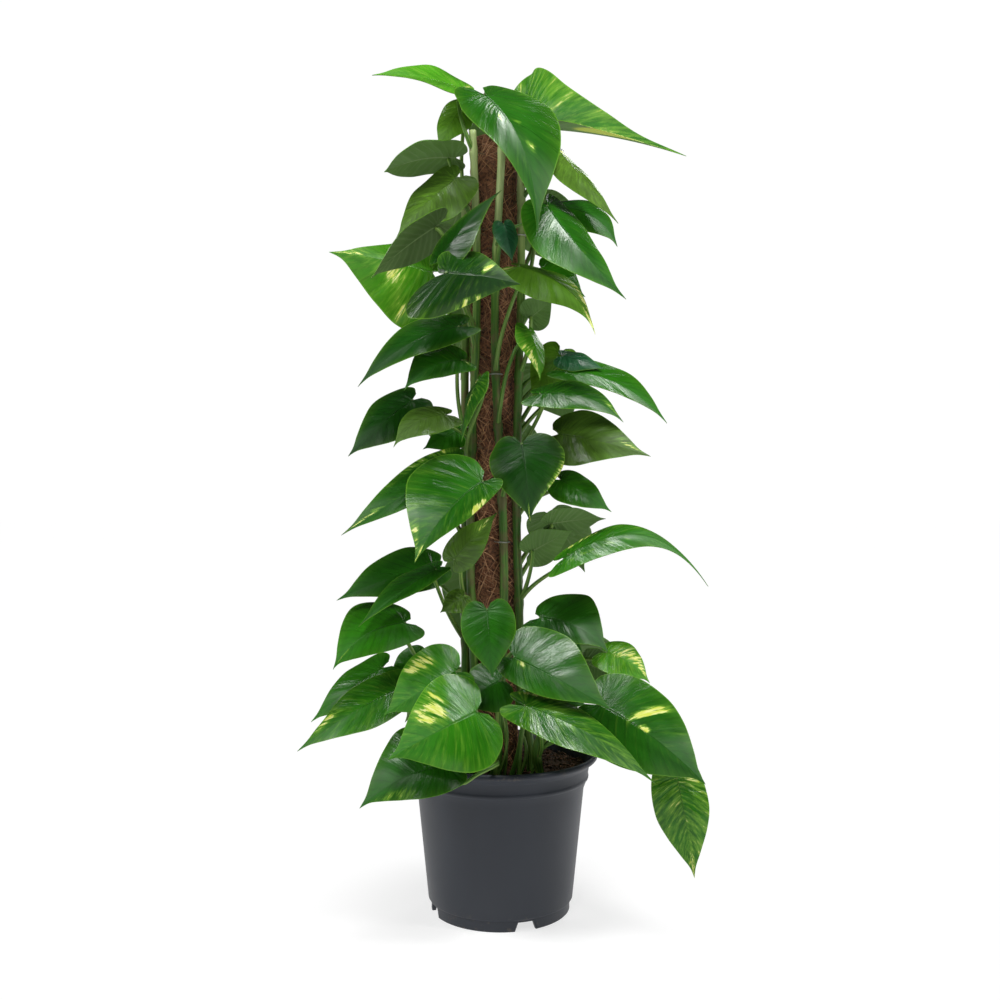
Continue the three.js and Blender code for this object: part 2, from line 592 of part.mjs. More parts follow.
function sleeveSolid() {
  const inside = STAKE_RADIUS + GAP;
  const profile = [
    [inside, SLEEVE_BOTTOM], [SLEEVE_RADIUS, SLEEVE_BOTTOM], [SLEEVE_RADIUS, POLE_TOP], [inside, POLE_TOP],
    [inside, SLEEVE_BOTTOM],
  ];
  const holes = everyPin().map(({ vine, height }) => pinHole(vine, height));
  return solid(turned(profile, POLE_SIDES).translate(POLE_X, 0, 0)).subtract(joined(holes));
}

// The group

const scindapsus = new THREE.Group();

function place(name, manifold, color, roughness, metalness = 0) {
  const material = new THREE.MeshStandardMaterial({ color, roughness, metalness });
  const mesh = new THREE.Mesh(geometryOf(manifold), material);
  mesh.name = name;
  scindapsus.add(mesh);
}

place("pot", potSolid(), 0x393c41, 0.55);
place("soil", soilSolid(), 0x33271d, 0.95);
place("pole_stake", stakeSolid(), 0x8a6f4d, 0.7);
place("coir_sleeve", sleeveSolid(), 0x6b4a2c, 0.95);
everyPin().forEach(({ vine, height }, i) => {
  place(`stem_pin_${i + 1}`, pinSolid(vine, height), 0x9a9c98, 0.35, 1);
});
for (const vine of VINES) {
  const parts = [vineSolid(vine), ...vine.leaves.map((spec) => leafySolid(vine, spec))];
  place(vine.name, joined(parts), 0x4c7a2c, 0.4);
}

export default scindapsus;
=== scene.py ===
"""Looks of a potted scindapsus on a coir pole: blades, stalks, vines, coir, soil and pot."""
import random
from math import atan2, cos, exp, pi, radians, sin, sqrt

import bmesh
import bpy
from mathutils import Matrix, Vector, noise


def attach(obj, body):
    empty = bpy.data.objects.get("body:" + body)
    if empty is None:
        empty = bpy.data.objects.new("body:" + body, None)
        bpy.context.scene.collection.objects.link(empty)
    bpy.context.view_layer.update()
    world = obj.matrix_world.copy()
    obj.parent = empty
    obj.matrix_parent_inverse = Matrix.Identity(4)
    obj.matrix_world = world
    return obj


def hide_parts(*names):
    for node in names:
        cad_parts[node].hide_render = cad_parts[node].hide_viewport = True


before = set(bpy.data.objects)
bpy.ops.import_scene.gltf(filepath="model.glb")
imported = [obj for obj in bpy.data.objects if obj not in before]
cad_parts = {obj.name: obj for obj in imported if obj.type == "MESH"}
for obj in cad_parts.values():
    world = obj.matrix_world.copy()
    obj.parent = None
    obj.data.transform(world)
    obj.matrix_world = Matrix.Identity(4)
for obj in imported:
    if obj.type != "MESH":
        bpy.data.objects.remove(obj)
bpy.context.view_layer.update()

MM = 0.001
BODY = "root"
DRAW_SEED = 27
STALK_SEED = 8
UP = Vector((0, 0, 1))

# Camera, worked out from the pot's ellipses in the photograph; metres, and the lens in millimetres
CAMERA_BACK = 1.147
CAMERA_HEIGHT = 0.431
CAMERA_LENS = 42
CAMERA_SENSOR = 36
SHIFT_RIGHT = -0.0005
SHIFT_UP = -0.033

# Pole and vines, in millimetres
GAP = 0.3
POLE_X = -6
POLE_TOP = 752
STAKE_RADIUS = 10
STAKE_BOTTOM = 22
STAKE_PROUD = 4
STAKE_EASE = 0.9
SLEEVE_RADIUS = 24
SLEEVE_BOTTOM = 92
SOIL_TOP = 137
VINE_RADIUS = 4.4
VINE_TAPER = 0.18
NODE_LENGTH = 5
NODE_SWELL = 0.22
YOUNG_FROM = 0.72
YOUNG_LENGTH = 0.28
VINE_STEP = 66
VINE_BOTTOM = 88
VINE_SPREAD = 13
VINE_SPREAD_HEIGHT = 60
VINE_WANDER = 9
VINE_WANDER_LENGTH = 78
HALVINGS = 24
ROOT_LIFT = 3.5
SHEATH_LENGTHS = (6, 15)
STALK_SPAN = (-20, 34)
STALK_HEIGHTS = (42, 88)
STALK_RADII = (1.5, 2.6)
SEAM = 1e-4

# Leaves, in millimetres
BLADE_THICKNESS = 0.6
COLUMNS = 72
ROWS = 9
ROW_CROWDING = 1.4
VEIN_SWEEP = 1.25
SIDE_VEINS = 9
VEIN_DEPTH = 0.5
PUCKER = 2.4
MIDRIB_RIDGE = 1
PETIOLE_RADIUS = 1.9
PETIOLE_SINK = 0.06
PETIOLE_DROP = 1.3
PETIOLE_BEHIND = 0.25
PETIOLE_FLARE = 0.9
KNEE_PLACE = 0.93
KNEE_LENGTH = 0.04
KNEE_SWELL = 0.4
PETIOLE_SIDES = 10
PETIOLE_STEPS = 18
VINE_SIDES = 14
VINE_STEPS = 150
WAVES = 1.6
WAVE = 0.05
CURL = 0.1
TAIL_POWER = 6
BLADE_SEAM = 0.02

# Half of the heart-shaped outline, from the lobe beside the stalk to the tip:
# along the midrib, out to the side, and the place on the midrib where its side vein starts
HEART = [
    (-0.1, 0.14, 0), (-0.15, 0.44, 0), (-0.07, 0.78, 0), (0.13, 0.98, 0.03), (0.35, 0.97, 0.14),
    (0.57, 0.74, 0.33), (0.78, 0.37, 0.57), (0.91, 0.1, 0.8), (1, 0, 1),
]

# Greens of the blades
TONES = dict(
    dark=(0.005, 0.04, 0.002),
    deep=(0.011, 0.08, 0.003),
    mid=(0.018, 0.125, 0.003),
    bright=(0.04, 0.19, 0.005),
    lime=(0.095, 0.25, 0.014),
    olive=(0.05, 0.11, 0.012),
    blue=(0.014, 0.085, 0.03),
)

# Every vine with the leaves that grow from it, in millimetres. Angles go from the front
# towards the right. A leaf has its stalk end and tip, its width when flat, the way its
# glossy side looks, the height on the vine where its stalk starts, and what bends it.
VINES = []


def start_vine(name, **where):
    VINES.append(dict(name=name, leaves=[], **where))


def leaf(name, base, tip, width, face, node, **shape):
    VINES[-1]["leaves"].append(dict(name=name, base=Vector(base), tip=Vector(tip), width=width,
                                    face=Vector(face), node=node, **shape))


start_vine("vine_front_right", angle=10, top=758)
leaf("top_front", (-15, -64, 777), (33, -97, 642), 98, (0.3, -1, 0.5), 735, fold=-14, arch=0.12, bend=-0.05,
     skew=-0.44, shoulder=0.13)
leaf("right_gloss", (44, -58, 675), (114, -90, 583), 66, (0.5, -1, 0.45), 640, fold=-12, bend=0.08,
     skew=0.05)
leaf("small_blue", (3, -62, 657), (11, -75, 619), 24, (0.2, -1, 0.2), 600)
leaf("yellow_tip", (18, -60, 618), (86, -90, 551), 54, (0.4, -1, 0.6), 520, bend=-0.14, fold=-20, tail=0.2)
leaf("folded_small", (28, -45, 560), (37, -60, 512), 45, (0.9, -0.6, 0.2), 470)
leaf("hooded", (19, -88, 452), (27, -97, 380), 90, (0.2, -1, 0.25), 400, fold=-36, twist=20, skew=-0.2,
     shoulder=0.08)
leaf("heart_low", (-12, -98, 303), (-7, -108, 243), 50, (0, -1, 0.3), 250)
leaf("pair_right", (37, -48, 289), (99, -76, 261), 66, (0.2, -0.9, 0.6), 235, bend=-0.1, skew=-0.3)

start_vine("vine_front_left", angle=-44, top=756)
leaf("top_edge", (-35, -12, 798), (-122, -40, 803), 66, (0, -0.75, 1), 735, fold=10, arch=0.06)
leaf("left_hang", (-42, -34, 707), (-99, -44, 647), 60, (-0.5, -1, 0.3), 660, shoulder=-0.04)
leaf("upturned", (-55, -82, 622), (1, -86, 683), 44, (-0.9, -0.8, 0.2), 560, tail=0.12)
leaf("front_gloss", (-48, -112, 604), (18, -106, 594), 84, (-0.05, -1, 0.4), 540, fold=-22, skew=0.08,
     sweep=0.75, rise=0.5, out=0.1)
leaf("stalked", (-36, -55, 531), (-89, -75, 501), 42, (-0.1, -1, 0.4), 450, bend=0.12, skew=0.3)
leaf("narrow", (-21, -60, 512), (-36, -70, 454), 42, (-1, -0.4, 0.2), 430)
leaf("olive_mid", (-51, -62, 480), (-98, -80, 449), 38, (-0.1, -1, 0.7), 456, bend=0.14, rise=0.2)
leaf("big_front", (-16, -95, 418), (-76, -115, 346), 80, (-0.15, -1, 0.3), 400, fold=-14, bend=0.06,
     skew=0.55)
leaf("olive_back", (-43, -62, 345), (-3, -68, 389), 34, (-0.2, -1, 0.2), 285)
leaf("small_pale", (-35, -45, 309), (-57, -50, 294), 26, (-0.2, -1, 0.5), 300)

start_vine("vine_right", angle=56, top=757)
leaf("top_right", (19, 5, 766), (180, -18, 732), 98, (0.05, -0.6, 0.8), 700, fold=48, arch=0.04, skew=-0.36,
     tail=0.32, shoulder=0.16, rise=0.3)
leaf("light_narrow", (56, -20, 737), (111, -50, 660), 52, (0.7, -0.7, 0.4), 690, bend=0.08, skew=0.2)
leaf("shelf", (46, -18, 684), (111, -40, 640), 62, (0.1, -0.8, 0.9), 672, bend=-0.2)
leaf("grey_up", (28, -16, 575), (51, -18, 593), 34, (0.2, 1, 0.3), 520)
leaf("mid_right", (37, -62, 499), (112, -84, 472), 50, (0.1, -0.8, 0.9), 440, bend=-0.14, skew=-0.25)
leaf("mid_big", (56, -20, 463), (140, -60, 441), 66, (0.1, -1, 0.5), 400, skew=-0.1, shoulder=0.06)
leaf("long_tail", (63, -66, 350), (188, -92, 323), 44, (0.1, -0.8, 0.8), 300, arch=0.08, bend=-0.26,
     tail=0.35)
leaf("grey_low", (28, -26, 349), (70, -26, 370), 36, (0.2, 1, 0.3), 300)
leaf("dark_low", (49, -40, 282), (77, -50, 257), 40, (0.1, -1, 0.3), 240)
leaf("cream_patch", (99, -50, 257), (139, -62, 230), 40, (0.2, -0.9, 0.6), 220, bend=-0.08)

start_vine("vine_left", angle=-88, top=705)
leaf("grey_left", (-44, -16, 731), (-111, -36, 712), 50, (0, 0.5, 0.9), 690, bend=-0.05, skew=-0.25,
     shoulder=-0.2)
leaf("grey_wing", (-58, -56, 658), (-119, -82, 603), 42, (0.1, 0.7, 0.8), 610, rise=0.4)
leaf("big_left", (-65, -36, 617), (-162, -46, 634), 95, (-0.1, -1, 0.5), 560, fold=-16, skew=-0.22,
     shoulder=0.07)
leaf("left_droop", (-39, -60, 562), (-130, -85, 504), 44, (-0.2, -1, 0.6), 530, bend=0.07, skew=0.25)
leaf("left_dark", (-85, -20, 496), (-144, -46, 441), 56, (-0.3, -1, 0.4), 420)
leaf("small_mid", (-39, -14, 467), (-75, -24, 448), 32, (-0.2, -1, 0.3), 395)
leaf("left_long", (-43, -48, 432), (-147, -72, 368), 44, (-0.2, -1, 0.5), 360, arch=0.1, bend=-0.04,
     skew=0.3)
leaf("low_dark", (-65, -12, 335), (-155, -44, 305), 62, (-0.2, -0.8, 0.7), 290, skew=0.2)
leaf("low_bright", (-61, -46, 334), (-131, -76, 284), 38, (-0.2, -0.6, 1), 260, skew=0.4)
leaf("low_inner", (-74, -12, 243), (-111, -16, 217), 44, (-0.2, -1, 0.3), 200)

start_vine("vine_back_right", angle=122, top=690)
leaf("inner_grey", (39, -6, 661), (59, -20, 637), 30, (0.2, 1, 0.4), 600)
leaf("inner_dark", (39, -25, 622), (81, -35, 593), 44, (0.2, -1, 0.2), 570)
leaf("blue_back", (60, -14, 539), (100, -22, 525), 36, (0.1, -0.7, 0.8), 490)
leaf("right_shelf", (64, -25, 524), (156, -55, 472), 46, (0.2, -0.8, 0.8), 460, bend=-0.1, skew=-0.4)
leaf("pale_back", (59, 8, 545), (31, 0, 492), 46, (-0.1, -1, 0.2), 470)
leaf("mid_small", (57, -35, 419), (104, -55, 389), 40, (0.3, -1, 0.5), 380)
leaf("grey_mid", (46, -22, 376), (102, -18, 381), 38, (0, 1, 0.6), 330, rise=0.45)
leaf("back_right_top", (35, 45, 699), (79, 90, 635), 74, (0.3, 1, 0.4), 625)
leaf("back_right_mid", (41, 52, 535), (76, 92, 476), 72, (0.3, 1, 0.4), 505)
leaf("back_right_low", (53, 55, 382), (90, 95, 319), 66, (0.3, 1, 0.4), 318)
leaf("back_right_rim", (72, 60, 252), (134, 110, 164), 78, (0.3, 1, 0.4), 215)

start_vine("vine_back", angle=176, top=755)
leaf("back_top", (15, 45, 801), (-11, 95, 726), 85, (-0.1, 1, 0.3), 735)
leaf("back_upper", (-9, 62, 604), (-43, 105, 524), 80, (-0.1, 1, 0.3), 550)
leaf("back_mid", (-1, 70, 470), (10, 110, 379), 85, (0.1, 1, 0.3), 410)
leaf("back_low", (-16, 70, 334), (-38, 115, 233), 82, (0, 1, 0.3), 270)
leaf("back_rim", (-1, 85, 211), (10, 135, 137), 80, (0, 1, 0.6), 180)

start_vine("vine_back_left", angle=-128, top=715)
leaf("behind_pole", (-36, -2, 787), (-61, -16, 738), 40, (-0.3, -1, 0.2), 690)
leaf("back_left_top", (-33, 45, 714), (-64, 85, 647), 72, (-0.3, 1, 0.4), 655)
leaf("back_left_mid", (-31, 50, 577), (-55, 84, 531), 66, (-0.3, 1, 0.4), 520)
leaf("back_left_low", (-40, 52, 443), (-64, 92, 375), 72, (-0.3, 1, 0.4), 380)
leaf("back_left_rim", (-52, 58, 223), (-102, 96, 159), 66, (-0.3, 1, 0.4), 220)

start_vine("shoot_low_left", bare_stalks=9,
           route=[(-34, -44, 88), (-35, -47, 137), (-33, -52, 165), (-36, -56, 186)])
leaf("out_left", (-89, -60, 286), (-153, -82, 246), 68, (-0.3, -1, 0.35), 165, bend=0.12, skew=0.35,
     fold=-24, shoulder=-0.04)
leaf("low_left", (-113, -30, 239), (-180, -40, 189), 48, (-0.3, -0.9, 0.8), 165)
leaf("low_left_front", (-94, -58, 225), (-186, -80, 171), 54, (-0.2, -0.8, 0.8), 160, skew=0.1)
leaf("streaked", (-40, -82, 244), (-105, -98, 208), 64, (-0.1, -1, 0.5), 170, skew=0.2)
leaf("olive_low", (0, -70, 234), (-40, -80, 213), 50, (0, -1, 0.4), 180)
leaf("cream_front", (-21, -116, 215), (-98, -134, 177), 94, (-0.1, -1, 0.4), 155, fold=-12, shoulder=0.05)
leaf("over_rim", (-47, -112, 166), (-124, -122, 131), 74, (-0.2, -0.9, 0.6), 150, bend=0.07, skew=0.35,
     via=[(-2, -92, 163), (-21, -104, 156), (-34, -111, 150), (-41, -112, 157)])

start_vine("shoot_low_right", route=[(38, -42, 88), (38, -46, 137), (34, -50, 160), (38, -56, 182)])
leaf("front_low", (12, -88, 258), (98, -112, 216), 66, (0.1, -1, 0.5), 170, skew=-0.35)
leaf("grey_round", (81, -20, 243), (112, -26, 226), 40, (0.1, 1, 0.3), 170)
leaf("big_right", (90, -90, 216), (181, -118, 151), 88, (0.15, -1, 0.4), 165, fold=-16, bend=-0.03,
     skew=-0.1, shoulder=-0.04)
leaf("hanging", (159, -95, 152), (175, -95, 60), 52, (0.1, -1, 0.1), 160)
leaf("long_low", (22, -100, 217), (135, -130, 155), 46, (0.2, -0.8, 0.8), 155, arch=0.1)
leaf("dark_shelf", (24, -70, 221), (82, -80, 212), 40, (0.1, -0.5, 0.9), 160)

# How a leaf is coloured: its green, how streaked it is, and its pale marks.
# A mark is its place from base to tip, its place across from -1 to 1, its two sizes and strength.
LOOKS = dict(
    top_front=("deep", 0.16, (0.62, 0.2, 0.012, 0.05, 1.3), (0.74, -0.4, 0.01, 0.08, 1.2),
        (0.66, -0.2, 0.01, 0.06, 1)),
    right_gloss=("deep", 0.16),
    small_blue=("blue", 0.1),
    yellow_tip=("lime", 0.3, (1, 0, 0.1, 1.2, 1.4), (0.78, -0.95, 0.16, 0.16, 1.2),
        (0.05, 0.6, 0.08, 0.2, 0.9)),
    folded_small=("bright", 0.3, (0.75, 0.7, 0.2, 0.3, 0.7)),
    hooded=("dark", 0.1, (0.95, 0.3, 0.06, 0.3, 1.2), (0.6, -0.97, 0.25, 0.035, 1.6)),
    heart_low=("deep", 0.06),
    pair_right=("deep", 0.1),
    top_edge=("bright", 0.28, (0.15, 0.4, 0.1, 0.4, 0.9)),
    left_hang=("olive", 0.24, (0.5, 0.3, 0.2, 0.3, 0.2)),
    upturned=("dark", 0.05),
    front_gloss=("dark", 0.18, (0.68, 0.92, 0.045, 0.1, 1.6), (0.68, -0.6, 0.03, 0.3, 0.9)),
    stalked=("deep", 0.15, (0.1, -0.5, 0.1, 0.2, 0.6)),
    narrow=("deep", 0.25, (0.3, 0.3, 0.06, 0.2, 1), (0.62, 0.2, 0.07, 0.25, 1)),
    olive_mid=("olive", 0.15),
    big_front=("deep", 0.2, (0.45, -0.88, 0.06, 0.12, 2), (0.97, 0, 0.05, 0.6, 1.4),
        (0.8, 0.9, 0.1, 0.1, 0.8)),
    olive_back=("olive", 0.2, (0.85, -0.3, 0.1, 0.5, 0.8)),
    small_pale=("olive", 0.3),
    top_right=("mid", 0.42, (0.8, 0.85, 0.06, 0.4, 2.4)),
    light_narrow=("olive", 0.26, (0.35, -0.3, 0.1, 0.2, 0.9)),
    shelf=("deep", 0.05),
    mid_right=("deep", 0.16, (0.85, -0.7, 0.12, 0.2, 0.5)),
    mid_big=("olive", 0.2, (0.85, -0.7, 0.1, 0.2, 0.6)),
    long_tail=("mid", 0.2, (0.35, -0.85, 0.12, 0.12, 0.9), (0.5, 0.4, 0.2, 0.06, 0.5)),
    cream_patch=("bright", 0.35, (0.75, -0.6, 0.2, 0.3, 0.8), (0.55, -0.2, 0.06, 0.3, 0.6)),
    grey_wing=("dark", 0.1),
    big_left=("bright", 0.26, (0.66, -0.3, 0.06, 0.3, 0.7), (0.5, -0.75, 0.05, 0.2, 0.5),
        (0.9, 0.5, 0.1, 0.5, 0.6), (0.35, 0.92, 0.15, 0.06, 0.8)),
    left_droop=("dark", 0.08),
    left_dark=("dark", 0.05),
    left_long=("deep", 0.1, (0.4, 0.92, 0.2, 0.1, 1), (0.9, 0.3, 0.12, 0.4, 0.7)),
    low_dark=("deep", 0.1),
    low_bright=("deep", 0.12),
    pale_back=("lime", 0.2),
    blue_back=("blue", 0.05),
    behind_pole=("lime", 0.3),
    out_left=("mid", 0.1, (0.9, -0.2, 0.08, 0.3, 0.6)),
    low_left=("mid", 0.15),
    low_left_front=("mid", 0.22, (0.75, 0.8, 0.1, 0.2, 0.6)),
    streaked=("mid", 0.24, (0.5, 0.7, 0.05, 0.2, 1.2), (0.6, 0.8, 0.03, 0.15, 1.2)),
    olive_low=("deep", 0.1),
    cream_front=("mid", 0.24, (0.62, 0.55, 0.035, 0.35, 1.1), (0.69, 0.6, 0.025, 0.3, 1),
        (0.55, 0.75, 0.03, 0.2, 0.9)),
    over_rim=("deep", 0.12, (0.7, -0.8, 0.1, 0.2, 0.5)),
    front_low=("deep", 0.15, (0.45, 0.1, 0.05, 0.1, 0.8)),
    big_right=("deep", 0.16, (0.56, -0.45, 0.018, 0.33, 2.2), (0.64, -0.06, 0.018, 0.06, 2.6)),
    hanging=("mid", 0.42, (0.95, 0, 0.08, 0.6, 0.9), (0.3, -0.5, 0.1, 0.3, 0.6)),
    long_low=("deep", 0.3, (0.3, -0.9, 0.1, 0.12, 0.9)),
    dark_shelf=("deep", 0.15, (0.8, -0.6, 0.1, 0.2, 0.7)),
    **dict.fromkeys(("grey_up", "grey_low", "dark_low", "grey_left", "small_mid", "low_inner",
                     "right_shelf", "grey_round"), ("mid", 0.1)),
)
PLAIN_LOOK = ("mid", 0.16)


# Shader maths

def reckon(operation, swapped=False):
    """A method for Wire that adds a Math node on the wire and the others, or swapped."""
    def method(wire, *others):
        node = wire.socket.id_data.nodes.new("ShaderNodeMath")
        node.operation = operation
        for slot, value in zip(node.inputs, (*others, wire) if swapped else (wire, *others)):
            plug(slot, value)
        return Wire(node.outputs[0])

    return method


class Wire:
    """A socket's value, which Python's operators reckon with by adding Math nodes."""

    def __init__(self, socket):
        self.socket = socket

    __add__, __radd__ = reckon("ADD"), reckon("ADD", True)
    __sub__, __rsub__ = reckon("SUBTRACT"), reckon("SUBTRACT", True)
    __mul__ = reckon("MULTIPLY")
    __pow__ = reckon("POWER")
    __abs__ = reckon("ABSOLUTE")
    fraction = reckon("FRACT")
    top = reckon("MAXIMUM")

    def step(self, low, high):
        """0 below low, 1 above high and smooth between."""
        node = self.socket.id_data.nodes.new("ShaderNodeMapRange")
        node.interpolation_type = "SMOOTHSTEP"
        for slot, value in zip(node.inputs, (self, low, high, 0, 1)):
            plug(slot, value)
        return Wire(node.outputs[0])


def plug(slot, value):
    """Links a wire to a socket, or sets the socket's own value."""
    if isinstance(value, Wire):
        slot.id_data.links.new(value.socket, slot)
    elif isinstance(value, tuple) and slot.type == "RGBA" and len(value) == 3:
        slot.default_value = (*value, 1)
    else:
        slot.default_value = value


class Finish:
    """A material with one Principled shader, and the nodes that feed it."""

    def __init__(self, name, **constants):
        self.material = bpy.data.materials.new(name)
        self.material.use_nodes = True
        self.nodes = self.material.node_tree.nodes
        self.shader = next(n for n in self.nodes if n.type == "BSDF_PRINCIPLED")
        self.feed(**constants)

    def feed(self, **sockets):
        for socket, value in sockets.items():
            plug(self.shader.inputs[socket.replace("_", " ")], value)

    def done(self, colour, roughness, height=None, distance=0, strength=1, **others):
        """The finished material, with its colour, its roughness and the relief that bumps it."""
        self.feed(Base_Color=colour, Roughness=roughness, **others)
        if height:
            self.feed(Normal=self.node("Bump", Height=height, Distance=distance, Strength=strength))
        return self.material

    def node(self, kind, output=0, **sockets):
        """The output of a new node with these values in its sockets, or else in its settings."""
        made = self.nodes.new("ShaderNode" + kind)
        for key, value in sockets.items():
            if key in made.inputs:
                plug(made.inputs[key], value)
            else:
                setattr(made, key, value)
        return Wire(made.outputs[output])

    def attribute(self, name, output="Fac"):
        return self.node("Attribute", output, attribute_name=name)

    def place(self):
        """The piece's own coordinates, in metres."""
        return self.node("TexCoord", "Object")

    def parts(self, vector):
        """The three numbers of a vector or colour."""
        made = self.nodes.new("ShaderNodeSeparateXYZ")
        plug(made.inputs[0], vector)
        return [Wire(output) for output in made.outputs]

    def noise(self, vector, scale, detail=3, roughness=0.55):
        return self.node("TexNoise", Vector=vector, Scale=scale, Detail=detail, Roughness=roughness)

    def streaks(self, x, y, z, detail, roughness=0.55):
        """Noise on coordinates that each have their own scale."""
        return self.noise(self.node("CombineXYZ", X=x, Y=y, Z=z), 1, detail, roughness)

    def mix(self, factor, one, other):
        """A colour between two."""
        made = self.nodes.new("ShaderNodeMix")
        made.data_type = "RGBA"
        colours = [slot for slot in made.inputs if slot.type == "RGBA"]
        plug(made.inputs[0], factor)
        plug(colours[0], one)
        plug(colours[1], other)
        return Wire(next(out for out in made.outputs if out.type == "RGBA"))

    def shade(self, colour, amount):
        """A colour made lighter or darker by a factor."""
        return self.node("VectorMath", operation="SCALE", Vector=colour, Scale=amount)


# Materials

CREAM = (0.72, 0.74, 0.3)
YELLOW = (0.55, 0.62, 0.08)
LIME = (0.16, 0.36, 0.03)
UNDER_GREEN = (0.12, 0.21, 0.055)


def leaf_inputs(finish):
    """Along the outline's veins, out from the midrib, a number that differs from leaf to leaf, the
    leaf's green, its cream marks, and broad streaks."""
    along, across, _ = finish.parts(finish.node("UVMap", uv_map="leaf"))
    out = abs(across * 2 - 1)
    side = (across - 0.5).step(-0.01, 0.01)
    seed = finish.attribute("leaf_seed") + side * 3.7
    broad = finish.streaks(along * 3, out * 1.5, seed, 2)
    return along, out, seed, finish.attribute("leaf_tone", "Color"), finish.attribute("leaf_cream"), broad


def vein_lines(along, count, sharpness):
    """1 on each side vein, falling off between them."""
    return (1 - abs((along * count).fraction() * 2 - 1)) ** sharpness


def blade_top():
    """The glossy side: streaky green with a faint midrib, cream marks and a thin pale margin."""
    finish = Finish("leaf_gloss", Specular_IOR_Level=0.27)
    along, out, seed, tone, cream, broad = leaf_inputs(finish)
    fine = finish.streaks(along * 70, out * 3, seed, 3)
    thin = finish.streaks(along * 40, out * 1.5, seed + 11, 4, 0.65)
    uneven = finish.streaks(along * 6, out * 2, seed + 3, 2)
    veins = vein_lines(along + uneven * 0.05, 2 * SIDE_VEINS, 2)
    green = finish.shade(tone, 0.3 + broad * 1.1 + fine * 0.5)
    green = finish.mix(out.step(0.6, 1.1) * 0.12, green, LIME)
    green = finish.shade(green, 1 - veins ** 3 * out.step(0, 0.2) * 0.22)
    level = cream * (thin * 4 - 1.35)
    green = finish.mix(level.step(0.1, 0.5) * 0.65, green, LIME)
    pale = finish.mix(fine.step(0.35, 0.65), YELLOW, CREAM)
    green = finish.mix(level.step(0.45, 0.68), green, pale)
    midrib = 1 - out.step(0.008, 0.03)
    green = finish.mix(midrib * 0.5, green, finish.shade(green, 0.55))
    green = finish.mix(out.step(0.972, 0.995) * 0.5, green, LIME)
    relief = veins * 0.18 * uneven + fine * 0.4 + thin * 0.8 - midrib * 0.5
    relief = relief * (1 - along.step(0.55, 0.76))
    gloss = 0.1 + broad * 0.14 + fine * 0.1 + along.step(0.6, 0.85) * 0.3
    return finish.done(green, gloss, relief, 0.0012, 0.6)


def blade_under():
    """The matt side: grey-green with fine parallel veins and a pale midrib."""
    finish = Finish("leaf_underside", Specular_IOR_Level=0.25)
    along, out, seed, tone, cream, broad = leaf_inputs(finish)
    fine = finish.streaks(along * 50, out * 2, seed, 3)
    veins = vein_lines(along + broad * 0.04, 2 * SIDE_VEINS, 3)
    _, depth, _ = finish.parts(tone)
    green = finish.mix(0.78, finish.shade(tone, 1.5), finish.shade(UNDER_GREEN, 0.55 + depth * 3.3))
    green = finish.shade(green, 0.72 + broad * 0.4 + fine * 0.2)
    green = finish.mix(veins * 0.2, green, (0.2, 0.29, 0.12))
    green = finish.mix((cream - 0.8).step(0, 0.6) * 0.9, green, YELLOW)
    green = finish.mix((1 - out.step(0.015, 0.06)) * 0.7, green, (0.2, 0.3, 0.11))
    relief = (veins * 0.5 + fine * 0.2) * (1 - along.step(0.55, 0.76))
    return finish.done(green, 0.5 + fine * 0.15, relief, 0.0008, 0.5)


def stem_green():
    """Stalks and vines: pale stripes lengthwise, darker with age and, on the vines, with painted shade deep
    in the foliage, and paler at the young end.
    """
    finish = Finish("stem_green", Specular_IOR_Level=0.3)
    turn, length, _ = finish.parts(finish.node("UVMap", uv_map="leaf"))
    age_and_shade = finish.attribute("stem_age_and_shade")
    seed = finish.attribute("leaf_seed")
    stripes = finish.streaks(turn * 9, length * 6, seed, 3)
    blotch = finish.streaks(turn * 3, length * 55, seed + 5, 4)
    green = finish.mix(stripes.step(0.42, 0.62), (0.07, 0.19, 0.02), (0.24, 0.38, 0.08))
    # Darker where the layer is high: age, and on the vines also painted shade
    green = finish.mix(age_and_shade, green, (0.03, 0.1, 0.012))
    green = finish.mix((0 - age_and_shade).step(0, 0.7) * 0.75, green, (0.46, 0.56, 0.24))
    green = finish.mix((blotch + age_and_shade * 0.25).step(0.62, 0.82) * 0.7, green, (0.13, 0.1, 0.045))
    green = finish.shade(green, 0.75 + stripes * 0.45)
    relief = stripes * 0.6 + blotch * 0.4
    return finish.done(green, 0.36 + blotch * 0.2, relief, 0.0008, 0.5)


def dry_brown():
    """Dried sheaths and air roots on the vines."""
    finish = Finish("dry_sheath")
    grain = finish.noise(finish.place(), 900, 4)
    colour = finish.mix(grain.step(0.3, 0.7), (0.07, 0.04, 0.018), (0.25, 0.16, 0.075))
    return finish.done(colour, 0.8, grain, 0.0006)


def coir_mat():
    """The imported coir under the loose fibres: dark brown, matted."""
    finish = Finish("coir_mat")
    spot = finish.place()
    matted = finish.noise(spot, 420, 6, 0.7)
    clumps = finish.noise(spot, 60, 3)
    colour = finish.mix(matted.step(0.35, 0.65), (0.045, 0.019, 0.009), (0.34, 0.15, 0.07))
    colour = finish.shade(colour, 0.6 + clumps * 0.8)
    return finish.done(colour, 0.9, matted, 0.003)


def coir_fibre():
    """Loose coir fibres, each its own brown."""
    finish = Finish("coir_fibre")
    shade = finish.attribute("fibre_shade")
    grain = finish.noise(finish.place(), 700, 3)
    colour = finish.mix(shade, (0.16, 0.065, 0.027), (0.68, 0.37, 0.19))
    colour = finish.shade(colour, 0.7 + grain * 0.6)
    return finish.done(colour, 0.75 + grain * 0.15, grain, 0.0004)


def stake_wood():
    """The stake's end grain and sides."""
    finish = Finish("stake_wood")
    x, y, z = finish.parts(finish.place())
    grain = finish.streaks(x * 900, y * 900, z * 40, 4)
    colour = finish.mix(grain.step(0.3, 0.7), (0.16, 0.09, 0.04), (0.38, 0.25, 0.13))
    return finish.done(colour, 0.8, grain, 0.0006)


